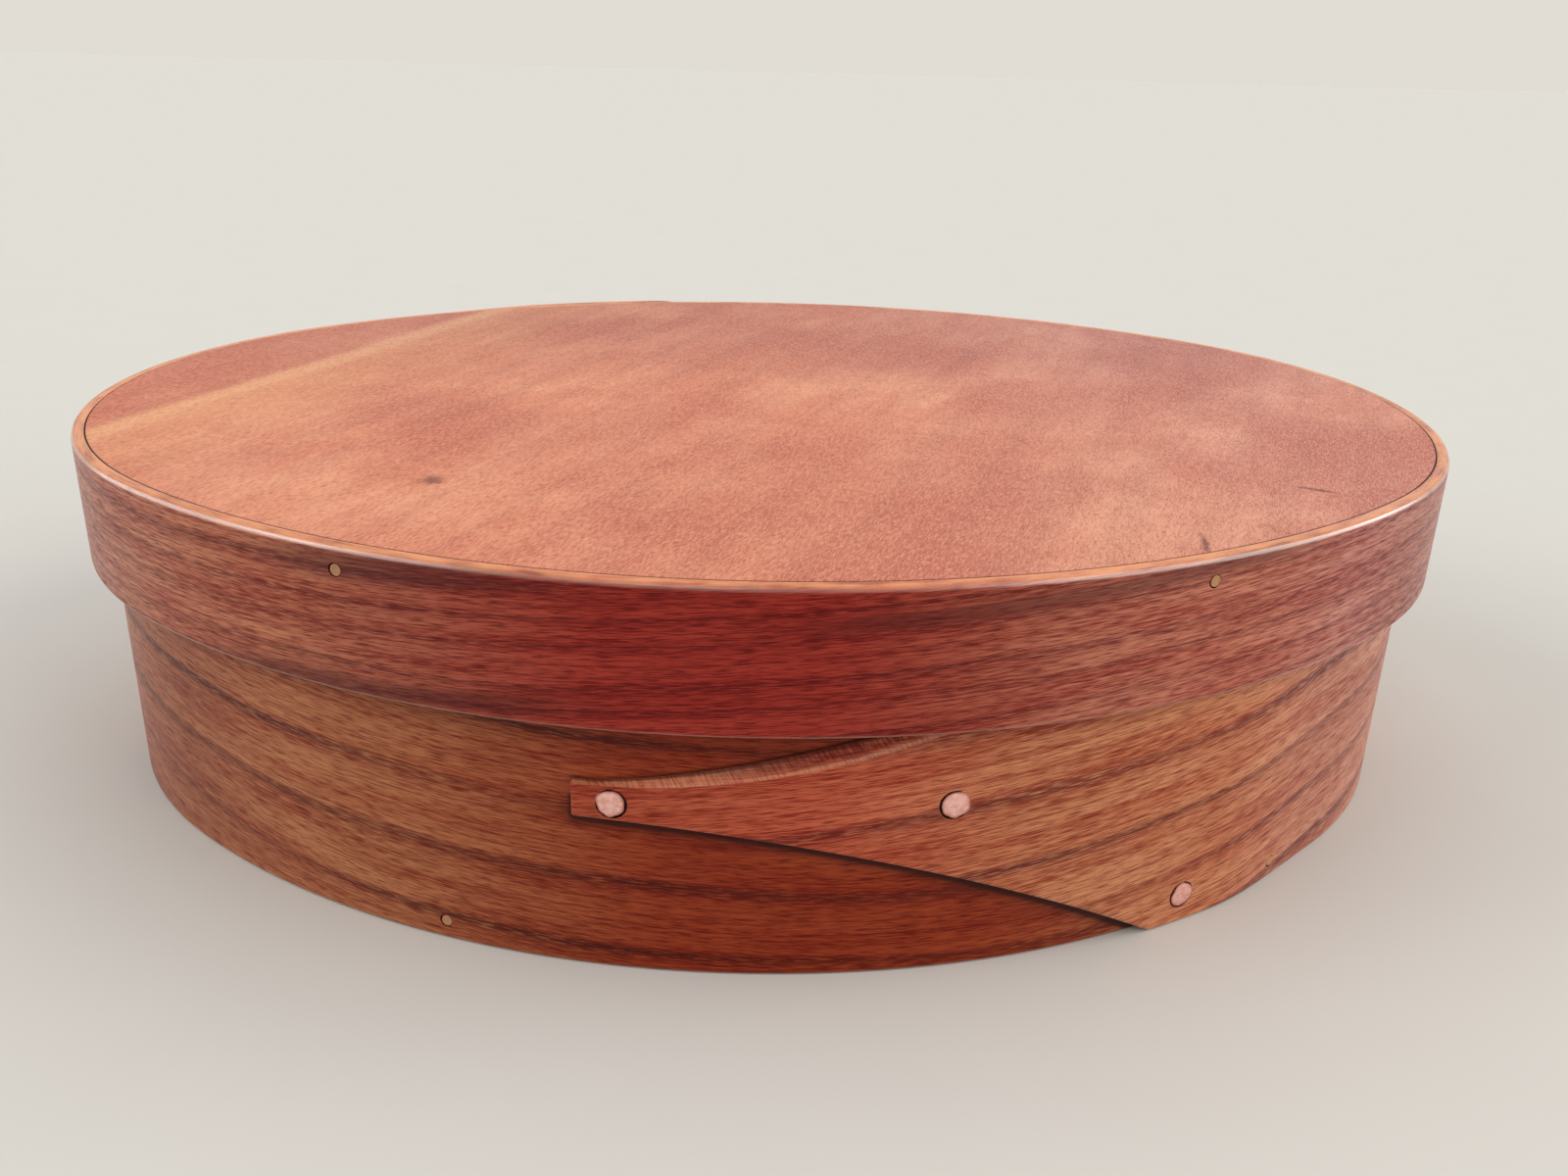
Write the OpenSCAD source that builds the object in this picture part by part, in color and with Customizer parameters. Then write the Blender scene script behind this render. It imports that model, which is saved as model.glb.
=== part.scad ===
// Oval bentwood box with a lift-off lid.
// Each band is a thin strip bent round on itself. Its outer end is cut to a finger and tacked over the
// start of the strip. Oval boards close the two bands and are held by pegs driven through the bands.
// The origin is at the middle of the box's underside. The long axis is X, and the finger faces -Y.

/* [Box] */
// Outside length of the box band
box_length = 262; // [220:1:320]
// Outside width of the box band
box_width = 208; // [190:1:230]
// Direction from the front, about a long side's centre, in which that side's arc meets an end's arc
side_join = 42.7; // [39:0.1:46]
// Height of the box band
box_height = 61.2; // [50:0.1:90]
// Thickness of the box band
band_t = 1.8; // [1.2:0.1:2.6]
// Thickness of the bottom board
bottom_t = 6.6; // [4.5:0.1:9]

/* [Box finger] */
// Distance of the finger's tip from the middle of the front, measured to the left
tip_reach = 30.8; // [15:0.1:45]
// Height of the finger's square-cut tip
tip_h = 5.5; // [5:0.1:9]
// Radius of the two curves along which the finger widens
finger_curve_r = 172; // [150:1:260]
// Angle by which the lap has run out short of the end of the side's arc
lap_short = 1.7; // [1:0.1:4]

/* [Lid] */
// Height of the lid band
lid_band_h = 23.4; // [16:0.1:32]
// Thickness of the lid band
lid_t = 2.3; // [1.6:0.1:3]
// Thickness of the lid board
lid_board_t = 6.3; // [4.5:0.1:9]
// Least gap between the lid band and the box
lid_play = 0.4; // [0.3:0.05:1]

/* [Lid finger] */
// Distance of the lid finger's tip from the middle of the back
lid_tip_reach = 26; // [15:0.5:40]
// Height of the lid finger's square-cut tip
lid_tip_h = 5; // [4.8:0.1:8]
// Radius of the two curves along which the lid finger widens
lid_finger_curve_r = 190; // [150:1:260]
// Angle by which the lid's lap has run out short of the end of the side's arc
lid_lap_short = 8.7; // [5:0.1:11]

/* [Tacks] */
// Diameter of a tack's head
tack_head_d = 4.4; // [3:0.1:4.8]
// Thickness of a tack's head
tack_head_t = 0.6; // [0.4:0.05:0.9]
// How far a head stands out of the wood
tack_proud = 0.12; // [0.05:0.01:0.2]
// Diameter of a tack's shank
tack_shank_d = 1.4; // [1:0.1:1.8]
// Length of the tip that is bent over inside the box
clinch_l = 2.6; // [2:0.1:4]
// Distance from a finger's tip to the tack behind it
tip_tack_in = 6.2; // [4:0.1:9]
// Distance from the box finger's tip to its middle tack
middle_tack_in = 57.5; // [45:0.5:65]
// Distance from the box finger's tip to the two tacks at its root
root_tack_in = 101.2; // [96:0.1:106]
// Depth of the lower root tack below the bottom board's upper face
root_tack_under = 1.2; // [1:0.1:2]
// How far the lower root tack goes on into the bottom board
tack_bite = 4; // [2:0.5:8]
// Distance from the lid finger's tip to its middle tack
lid_middle_tack_in = 44; // [36:0.5:52]
// Distance from the lid finger's tip to the tack at its root
lid_root_tack_in = 70; // [64:0.5:76]
// Distance of the lid's root tack from the lid band's lower edge
lid_root_tack_edge = 4.6; // [4:0.1:6]

/* [Pegs] */
// Diameter of a peg
peg_d = 1.9; // [1.4:0.1:2.6]
// How far a peg goes into the board
peg_depth = 10; // [6:0.5:16]
// Place of the first bottom peg along the front, measured to the left of the middle
first_peg_reach = 53.5; // [40:0.5:70]
// Distance of the lid's two front pegs from the middle of the front, along the lid band
lid_peg_reach = 66.4; // [50:0.1:80]
// How far the lid's pegs sit below the middle of the lid board's edge
lid_peg_drop = 0.6; // [0:0.1:1]

/* [Fits] */
// Gap all round between a board and the band that it is let into
board_fit = 0.05; // [0.02:0.01:0.1]
// Radial gap between a peg and its hole
peg_fit = 0.03; // [0.02:0.01:0.08]
// Radial gap between a tack and its hole
tack_fit = 0.05; // [0.02:0.01:0.1]
// Depth of a peg's end below the wood's surface
peg_sunk = 0.1; // [0.05:0.01:0.2]

/* [Hidden] */
$fn = 96;

bottom_pegs = 5;
lid_pegs = 6;
// Overshoot of a cut past the face that it opens
cut = 1;
// Length of a cut that reaches past the whole object
far = 3 * box_length;

band_color = [0.56, 0.26, 0.17];
lid_band_color = [0.60, 0.27, 0.19];
board_color = [0.78, 0.52, 0.42];
peg_color = [0.74, 0.52, 0.36];
copper_color = [0.72, 0.45, 0.38];

// An oval of four arcs is [half length, half width, end radius]. A grown oval keeps the arcs' centres.
// Where two arcs meet, the end arc stands this much outside the side arc, so that they cross cleanly.
arc_bite = 0.02;
function grown(o, d) = [o[0] + d, o[1] + d, o[2] + d];
function end_centre(o) = o[0] - o[2];
function arc_step(o) = o[1] - o[2] + arc_bite;
function side_centre(o) = (pow(end_centre(o), 2) - pow(arc_step(o), 2)) / (2 * arc_step(o));
function side_r(o) = side_centre(o) + o[1];
// Half angle of a side arc, in degrees
function side_half(o) = atan2(end_centre(o), side_centre(o));
function arc_length(r, angle) = r * angle * PI / 180;
function arc_angle(r, s) = s / r * 180 / PI;
function side_length(o) = arc_length(side_r(o), 2 * side_half(o));
function end_length(o) = arc_length(o[2], 180 - 2 * side_half(o));
function perimeter(o) = 2 * side_length(o) + 2 * end_length(o);

// Point at arc length s to the right of the middle of the front: [arc centre x, y, outward heading, radius].
// The heading is counted from -Y towards +X.
function wall_place(o, s) =
  let (
    half_turn = perimeter(o) / 2,
    from_start = s + side_length(o) / 2,
    turns = floor(from_start / half_turn),
    along = from_start - turns * half_turn,
    way = turns % 2 == 0 ? 1 : -1,
    turned = way > 0 ? 0 : 180
  )
  along < side_length(o)
    ? [0, way * side_centre(o), turned + arc_angle(side_r(o), along) - side_half(o), side_r(o)]
    : [way * end_centre(o), 0, turned + side_half(o) + arc_angle(o[2], along - side_length(o)), o[2]];

// The lap's outer face follows the band's curve and then leaves it on a straight line. The line goes under
// the band's own surface by this much, so that the two faces cross.
lap_bury = 0.1;
// Height of the lap above the band's own surface at arc length s from the middle of its side
function lap_rise(o, t, reach, end, s) =
  let (r = side_r(o), h = arc_angle(r, s))
  s < -reach || h > end ? 0 : max(0, min(t, (r - lap_bury) / cos(end - h) - r));
// Half angle between the place where the lap starts to run out and the place where it has run out
function run_out(o, t) = acos((side_r(o) - lap_bury) / (side_r(o) + t));

end_share = tan(side_join / 2);
end_radius = (box_width - box_length * end_share) / (2 - 2 * end_share);
box_oval = [box_length / 2, box_width / 2, end_radius];
box_inside = grown(box_oval, -band_t);
lap_end = side_join - lap_short;
lap_full_end = lap_end - run_out(box_oval, band_t);

// The lid sits forward of the box by just enough to pass over the lap with the same play as at the back
lid_forward = band_t / (1 + cos(lap_full_end));
lid_inside = grown(box_oval, lid_play + lid_forward);
lid_oval = grown(lid_inside, lid_t);
lid_top = box_height + lid_board_t;
lid_low = lid_top - lid_band_h;
lid_middle = (lid_top + lid_low) / 2;
lid_lap_end = side_join - lid_lap_short;

bottom_peg_z = bottom_t / 2;
lid_peg_z = lid_top - lid_board_t / 2 - lid_peg_drop;

// The two root tacks are as far from the band's edges as each other
root_tack_edge = bottom_t - root_tack_under;

// Tacks of the box, each as [arc length from the middle of the front, height]
finger_tip_place = [tip_tack_in - tip_reach, box_height / 2];
finger_middle_place = [middle_tack_in - tip_reach, box_height / 2];
lap_lower_place = [root_tack_in - tip_reach, root_tack_edge];
lap_upper_place = [root_tack_in - tip_reach, box_height - root_tack_edge];
box_tack_places = [finger_tip_place, finger_middle_place, lap_lower_place, lap_upper_place];

// Tacks of the lid, each as [arc length from the middle of the back, height]
lid_tip_place = [tip_tack_in - lid_tip_reach, lid_middle];
lid_middle_place = [lid_middle_tack_in - lid_tip_reach, lid_middle];
lid_root_place = [lid_root_tack_in - lid_tip_reach, lid_low + lid_root_tack_edge];
lid_tack_places = [lid_tip_place, lid_middle_place, lid_root_place];

function bottom_peg_s(i) = (i - 1) * perimeter(box_oval) / bottom_pegs - first_peg_reach;
// The lid's pegs are equally spaced from one front peg round the back to the other
lid_peg_step = (perimeter(lid_oval) - 2 * lid_peg_reach) / (lid_pegs - 1);
function lid_peg_s(i) = lid_peg_reach + (i - 1) * lid_peg_step;
function box_rise(s) = lap_rise(box_oval, band_t, tip_reach, lap_end, s);
// Rise of the lid's lap at arc length s from the middle of the back
function lid_rise(s) = lap_rise(lid_oval, lid_t, lid_tip_reach, lid_lap_end, s);
function lid_peg_rise(i) = lid_rise(lid_peg_s(i) - perimeter(lid_oval) / 2);

// Outlines

// Slice of a disc, to both sides of -Y
module side_pie(r, half) {
  intersection() {
    circle(r = r);
    polygon([[0, 0], for (a = [-half, 0, half]) 2 * r * [sin(a), -cos(a)]]);
  }
}

module oval_area(o) {
  for (side = [0, 180])
    rotate(side) {
      translate([end_centre(o), 0])
        circle(r = o[2]);
      translate([0, side_centre(o)])
        side_pie(side_r(o), side_half(o));
    }
}

// Plan of a lap of thickness t on the front of an oval
module lap_area(o, t, end) {
  translate([0, side_centre(o)])
    rotate(end - 90)
      difference() {
        intersection() {
          circle(r = side_r(o) + t);
          translate([0, -far])
            square([side_r(o) - lap_bury, far]);
        }
        circle(r = side_r(o) - t / 2);
      }
}

// Space beside the finger: what the knife takes away above, below and past the tip
module finger_waste(reach, tip, curve_r, middle) {
  for (side = [-1, 1])
    translate([-reach, 0, middle + side * (tip / 2 + curve_r)])
      rotate([90, 0, 0])
        cylinder(r = curve_r, h = far, $fn = 240);
  translate([-reach - far, -far, -far])
    cube([far, far, 2 * far]);
}

module lap(o, t, end, reach, tip, curve_r, low, height) {
  difference() {
    translate([0, 0, low])
      linear_extrude(height)
        lap_area(o, t, end);
    finger_waste(reach, tip, curve_r, low + height / 2);
  }
}

module bent_band(outside, inside, low, height) {
  translate([0, 0, low])
    linear_extrude(height)
      difference() {
        oval_area(outside);
        oval_area(inside);
      }
}

module board(o, low, thickness) {
  translate([0, 0, low])
    linear_extrude(thickness)
      oval_area(o);
}

// Puts a thing on the wall of an oval: its own Z then points outwards, and its X runs along the wall
module on_wall(o, s, rise, z) {
  place = wall_place(o, s);
  translate([place[0], place[1], z])
    rotate(place[2])
      translate([0, -(place[3] + rise), 0])
        rotate([90, 0, 0])
          children();
}

// Tacks and pegs, with the wood's surface at zero

tack_under_head = tack_head_t - tack_proud;

module tack(depth) {
  translate([0, 0, -tack_under_head])
    cylinder(d = tack_head_d, h = tack_head_t);
  translate([0, 0, -depth])
    cylinder(d = tack_shank_d, h = depth);
}

// Tack through wood of thickness grip, with its tip bent over along the wood's inner face
module clinched_tack(grip) {
  tack(grip + tack_fit + tack_shank_d);
  translate([0, 0, -grip - tack_fit - tack_shank_d / 2])
    rotate([0, 90, 0])
      cylinder(d1 = tack_shank_d, d2 = tack_shank_d / 2, h = clinch_l);
}

module tack_hole(depth) {
  translate([0, 0, -depth])
    cylinder(d = tack_shank_d + 2 * tack_fit, h = depth + cut);
  translate([0, 0, -tack_under_head])
    cylinder(d = tack_head_d + 2 * tack_fit, h = tack_under_head + cut);
}

module at_box_tack(place) {
  on_wall(box_oval, place[0], box_rise(place[0]), place[1])
    children();
}

module at_lid_tack(place) {
  rotate(180)
    on_wall(lid_oval, place[0], lid_rise(place[0]), place[1])
      children();
}

// Wood under a tack's head, from the lap's outer face to the band's inner face
function box_grip(place) = box_rise(place[0]) + band_t;
function lid_grip(place) = lid_rise(place[0]) + lid_t;
lap_lower_depth = box_grip(lap_lower_place) + board_fit + tack_bite;

module box_tack(place) {
  at_box_tack(place)
    clinched_tack(box_grip(place));
}

module box_tack_holes() {
  for (place = box_tack_places)
    at_box_tack(place)
      tack_hole(box_grip(place) + cut);
}

// The tips of the lid's tacks are hammered flush, because the box's rim passes close behind them
module lid_tack(place) {
  translate([0, -lid_forward, 0])
    at_lid_tack(place)
      tack(lid_grip(place));
}

module lid_tack_holes() {
  for (place = lid_tack_places)
    at_lid_tack(place)
      tack_hole(lid_grip(place) + cut);
}

module peg(rise, wall) {
  reach = rise + wall + board_fit + peg_depth;
  translate([0, 0, -reach])
    cylinder(d = peg_d, h = reach - peg_sunk);
}

module peg_hole(rise, wall) {
  reach = rise + wall + board_fit + peg_depth + peg_fit;
  translate([0, 0, -reach])
    cylinder(d = peg_d + 2 * peg_fit, h = reach + cut);
}

module bottom_peg_holes() {
  for (i = [1:bottom_pegs])
    on_wall(box_oval, bottom_peg_s(i), box_rise(bottom_peg_s(i)), bottom_peg_z)
      peg_hole(box_rise(bottom_peg_s(i)), band_t);
}

module lid_peg_holes() {
  for (i = [1:lid_pegs])
    on_wall(lid_oval, lid_peg_s(i), lid_peg_rise(i), lid_peg_z)
      peg_hole(lid_peg_rise(i), lid_t);
}

// The box

module box_band() {
  color(band_color)
    difference() {
      union() {
        bent_band(box_oval, box_inside, 0, box_height);
        lap(box_oval, band_t, lap_end, tip_reach, tip_h, finger_curve_r, 0, box_height);
      }
      box_tack_holes();
      bottom_peg_holes();
    }
}

module bottom_board() {
  color(board_color)
    difference() {
      board(grown(box_inside, -board_fit), 0, bottom_t);
      bottom_peg_holes();
      at_box_tack(lap_lower_place)
        tack_hole(lap_lower_depth + tack_fit);
    }
}

module finger_tip_tack() {
  color(copper_color)
    box_tack(finger_tip_place);
}

module finger_middle_tack() {
  color(copper_color)
    box_tack(finger_middle_place);
}

module lap_lower_tack() {
  color(copper_color)
    at_box_tack(lap_lower_place)
      tack(lap_lower_depth);
}

module lap_upper_tack() {
  color(copper_color)
    box_tack(lap_upper_place);
}

module bottom_peg(i) {
  color(peg_color)
    on_wall(box_oval, bottom_peg_s(i), box_rise(bottom_peg_s(i)), bottom_peg_z)
      peg(box_rise(bottom_peg_s(i)), band_t);
}

// The lid

module lid_band() {
  color(lid_band_color)
    translate([0, -lid_forward, 0])
      difference() {
        union() {
          bent_band(lid_oval, lid_inside, lid_low, lid_band_h);
          rotate(180)
            lap(lid_oval, lid_t, lid_lap_end, lid_tip_reach, lid_tip_h, lid_finger_curve_r,
              lid_low, lid_band_h);
        }
        lid_tack_holes();
        lid_peg_holes();
      }
}

module lid_board() {
  color(board_color)
    translate([0, -lid_forward, 0])
      difference() {
        board(grown(lid_inside, -board_fit), box_height, lid_board_t);
        lid_peg_holes();
      }
}

module lid_tip_tack() {
  color(copper_color)
    lid_tack(lid_tip_place);
}

module lid_middle_tack() {
  color(copper_color)
    lid_tack(lid_middle_place);
}

module lid_root_tack() {
  color(copper_color)
    lid_tack(lid_root_place);
}

module lid_peg(i) {
  color(peg_color)
    translate([0, -lid_forward, 0])
      on_wall(lid_oval, lid_peg_s(i), lid_peg_rise(i), lid_peg_z)
        peg(lid_peg_rise(i), lid_t);
}

box_band();
bottom_board();
finger_tip_tack();
finger_middle_tack();
lap_lower_tack();
lap_upper_tack();
for (i = [1:bottom_pegs])
  bottom_peg(i);
lid_band();
lid_board();
lid_tip_tack();
lid_middle_tack();
lid_root_tack();
for (i = [1:lid_pegs])
  lid_peg(i);
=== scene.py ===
"""Looks of an oval bentwood box with a lift-off lid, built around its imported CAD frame.

Each band is one thin strip of cherry, bent round an oval until its outer end laps over its start.
The outer end is cut to a finger and fixed with copper tacks. Oval boards close the two bands, and
wooden pegs hold the boards. Sizes are in metres. Places in materials are in millimetres.
"""

from __future__ import annotations

import logging
import math
from abc import ABC, abstractmethod
from dataclasses import dataclass, field, replace
from enum import Enum
from typing import Mapping, Sequence, Union

import bmesh
import bpy
import numpy as np
from mathutils import Matrix, Vector


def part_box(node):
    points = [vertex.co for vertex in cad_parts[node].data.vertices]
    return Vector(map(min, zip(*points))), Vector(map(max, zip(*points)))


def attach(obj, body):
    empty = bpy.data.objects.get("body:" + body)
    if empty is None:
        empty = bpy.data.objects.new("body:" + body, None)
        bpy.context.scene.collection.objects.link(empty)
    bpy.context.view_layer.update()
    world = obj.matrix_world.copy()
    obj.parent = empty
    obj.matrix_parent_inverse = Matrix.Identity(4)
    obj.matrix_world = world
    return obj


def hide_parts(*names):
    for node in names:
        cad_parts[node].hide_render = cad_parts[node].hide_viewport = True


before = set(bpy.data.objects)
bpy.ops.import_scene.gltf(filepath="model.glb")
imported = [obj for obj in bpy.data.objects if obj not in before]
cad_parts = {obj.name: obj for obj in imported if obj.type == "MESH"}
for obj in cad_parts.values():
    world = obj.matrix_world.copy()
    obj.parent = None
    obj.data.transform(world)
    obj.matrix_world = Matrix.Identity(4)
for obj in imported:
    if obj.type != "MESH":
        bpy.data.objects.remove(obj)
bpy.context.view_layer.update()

MM = 0.001
LOG = logging.getLogger("bentwood_box")

Colour = tuple[float, float, float, float]
Value = Union["Field", float, str, Sequence[float], bpy.types.Material]
Feeds = Mapping[Union[str, int], Value]
Arris = tuple[np.ndarray, np.ndarray, np.ndarray]


def srgb(red: int, green: int, blue: int) -> Colour:
    """Turns a display colour into the linear colour that a shader takes.

    Args:
        red: Red from 0 to 255.
        green: Green from 0 to 255.
        blue: Blue from 0 to 255.

    Returns:
        The linear colour, with an alpha of 1.
    """
    parts = [c / 255 for c in (red, green, blue)]
    linear = [c / 12.92 if c <= 0.04045 else ((c + 0.055) / 1.055) ** 2.4 for c in parts]
    return (linear[0], linear[1], linear[2], 1.0)


# Node trees


class TreeKind(Enum):
    """Kinds of node tree that the script builds."""

    SHADER = "ShaderNodeTree"
    GEOMETRY = "GeometryNodeTree"


class SocketKind(Enum):
    """Kinds of input and output that a node group has."""

    VALUE = "NodeSocketFloat"
    VECTOR = "NodeSocketVector"
    GEOMETRY = "NodeSocketGeometry"
    MATERIAL = "NodeSocketMaterial"


@dataclass(frozen=True)
class Field:
    """A value in a node tree. Arithmetic with it adds nodes to the tree.

    Attributes:
        wiring: What adds the nodes.
        socket: The output that holds the value.
    """

    wiring: Wiring
    socket: bpy.types.NodeSocket

    def __add__(self, other: Value) -> Field:
        """Adds a value."""
        return self.wiring.compute("ADD", self, other)

    def __sub__(self, other: Value) -> Field:
        """Takes a value away."""
        return self.wiring.compute("SUBTRACT", self, other)

    def __rsub__(self, other: Value) -> Field:
        """Takes this away from a value."""
        return self.wiring.compute("SUBTRACT", other, self)

    def __mul__(self, other: Value) -> Field:
        """Multiplies by a value."""
        return self.wiring.compute("MULTIPLY", self, other)

    def __truediv__(self, other: Value) -> Field:
        """Divides by a value."""
        return self.wiring.compute("DIVIDE", self, other)

    def __abs__(self) -> Field:
        """Drops the sign."""
        return self.wiring.compute("ABSOLUTE", self)

    def at_least(self, low: Value) -> Field:
        """Raises what is under a value to it."""
        return self.wiring.compute("MAXIMUM", self, low)

    def at_most(self, high: Value) -> Field:
        """Lowers what is over a value to it."""
        return self.wiring.compute("MINIMUM", self, high)

    def over(self, level: Value) -> Field:
        """Gives 1 where this is over a value, and else 0."""
        return self.wiring.compute("GREATER_THAN", self, level)

    def root(self) -> Field:
        """Takes the square root."""
        return self.wiring.compute("SQRT", self)

    def sine(self) -> Field:
        """Takes the sine."""
        return self.wiring.compute("SINE", self)


class Wiring:
    """Adds nodes to a tree and links them."""

    def __init__(self, tree: bpy.types.NodeTree) -> None:
        """Keeps the tree that the nodes go into."""
        self.tree = tree

    def node(self, kind: str, feeds: Union[Feeds, None] = None, **settings: object) -> bpy.types.Node:
        """Adds a node.

        Args:
            kind: Blender's name of the node type.
            feeds: What goes into its inputs, by name or number.
            **settings: The node's own properties.

        Returns:
            The new node.
        """
        made = self.tree.nodes.new(kind)
        for name, value in settings.items():
            setattr(made, name, value)
        for key, value in (feeds or {}).items():
            self.feed(made.inputs[key], value)
        return made

    def out(
        self, kind: str, feeds: Union[Feeds, None] = None, output: Union[str, int] = 0, **settings: object
    ) -> Field:
        """Adds a node and returns one of its outputs."""
        return Field(self, self.node(kind, feeds, **settings).outputs[output])

    def feed(self, socket: bpy.types.NodeSocket, value: Value) -> None:
        """Links a field to an input, or sets the input's own value.

        Args:
            socket: The input.
            value: A field, or a plain value. One number goes to all parts of a vector.
        """
        if isinstance(value, Field):
            self.tree.links.new(value.socket, socket)
        elif socket.type == "VECTOR" and isinstance(value, (int, float)):
            socket.default_value = (value, value, value)
        else:
            socket.default_value = value

    def compute(self, operation: str, *values: Value) -> Field:
        """Adds a Math node, or a Vector Math node where a value has three parts.

        Args:
            operation: Blender's name of the operation.
            *values: What it works on.

        Returns:
            The result.
        """
        threes = [v.socket.type == "VECTOR" if isinstance(v, Field) else isinstance(v, tuple) for v in values]
        kind = "ShaderNodeVectorMath" if any(threes) else "ShaderNodeMath"
        return self.out(kind, dict(enumerate(values)), operation=operation)

    def parts(self, vector: Field) -> list[Field]:
        """Splits a vector into its three parts."""
        return [Field(self, part) for part in self.node("ShaderNodeSeparateXYZ", {0: vector}).outputs]

    def join(self, x: Value, y: Value, z: Value = 0.0) -> Field:
        """Makes a vector of three parts."""
        return self.out("ShaderNodeCombineXYZ", {0: x, 1: y, 2: z})

    def smooth(self, value: Value, low: Value, high: Value, start: Value = 0.0, end: Value = 1.0) -> Field:
        """Eases from start to end while a value goes from low to high."""
        feeds = {0: value, 1: low, 2: high, 3: start, 4: end}
        return self.out("ShaderNodeMapRange", feeds, interpolation_type="SMOOTHSTEP")

    def noise(self, place: Value, seed: Value, detail: float = 2.0, roughness: float = 0.5) -> Field:
        """Reads a noise of unit size, around 0.5. The seed picks one of many."""
        feeds = {"Vector": place, "W": seed, "Scale": 1.0, "Detail": detail, "Roughness": roughness}
        return self.out("ShaderNodeTexNoise", feeds, "Fac", noise_dimensions="4D")

    def blend(self, share: Value, first: Value, second: Value, mode: str = "MIX") -> Field:
        """Mixes a share of the second colour into the first."""
        feeds = {0: share, 6: first, 7: second}
        return self.out("ShaderNodeMix", feeds, 2, data_type="RGBA", blend_type=mode)

    def layered(self, tone: Field, *layers: tuple[Field, float, Colour]) -> Field:
        """Lays colours over a tone.

        Args:
            tone: The tone.
            *layers: Mask, greatest share and colour of each layer.

        Returns:
            The layered tone.
        """
        for mask, share, colour in layers:
            tone = self.blend(mask * share, tone, colour)
        return tone

    def group(self, tree: bpy.types.NodeTree, **feeds: Value) -> dict[str, Field]:
        """Places a shader group.

        Args:
            tree: The group.
            **feeds: What goes into its inputs. An underscore in a name stands for a space.

        Returns:
            Its outputs, by name.
        """
        named = {name.replace("_", " "): value for name, value in feeds.items()}
        made = self.node("ShaderNodeGroup", named, node_tree=tree)
        return {part.name: Field(self, part) for part in made.outputs}


class NodeGroup(Wiring):
    """A node group with named inputs and outputs."""

    def __init__(
        self, name: str, kind: TreeKind, inputs: Mapping[str, SocketKind], outputs: Mapping[str, SocketKind]
    ) -> None:
        """Makes the empty group.

        Args:
            name: The group's name.
            kind: The kind of tree.
            inputs: The inputs' names and kinds.
            outputs: The outputs' names and kinds.
        """
        super().__init__(bpy.data.node_groups.new(name, kind.value))
        face = self.tree.interface
        self.identifiers: dict[str, str] = {}
        for label, socket in inputs.items():
            made = face.new_socket(label, in_out="INPUT", socket_type=socket.value)
            self.identifiers[label] = made.identifier
        for label, socket in outputs.items():
            face.new_socket(label, in_out="OUTPUT", socket_type=socket.value)
        entry = self.tree.nodes.new("NodeGroupInput").outputs
        self.entry = {label: Field(self, entry[label]) for label in inputs}
        self.exit = self.tree.nodes.new("NodeGroupOutput").inputs

    @classmethod
    def effect(cls, name: str, values: Sequence[str], results: Sequence[str]) -> NodeGroup:
        """Makes an empty shader group that reads a place and some values, and gives some results."""
        inputs = {"Place": SocketKind.VECTOR, **dict.fromkeys(values, SocketKind.VALUE)}
        return cls(name, TreeKind.SHADER, inputs, dict.fromkeys(results, SocketKind.VALUE))

    def result(self, **values: Field) -> bpy.types.NodeTree:
        """Links the outputs.

        Args:
            **values: What goes to each output.

        Returns:
            The finished tree.
        """
        for label, value in values.items():
            self.feed(self.exit[label], value)
        return self.tree


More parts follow.
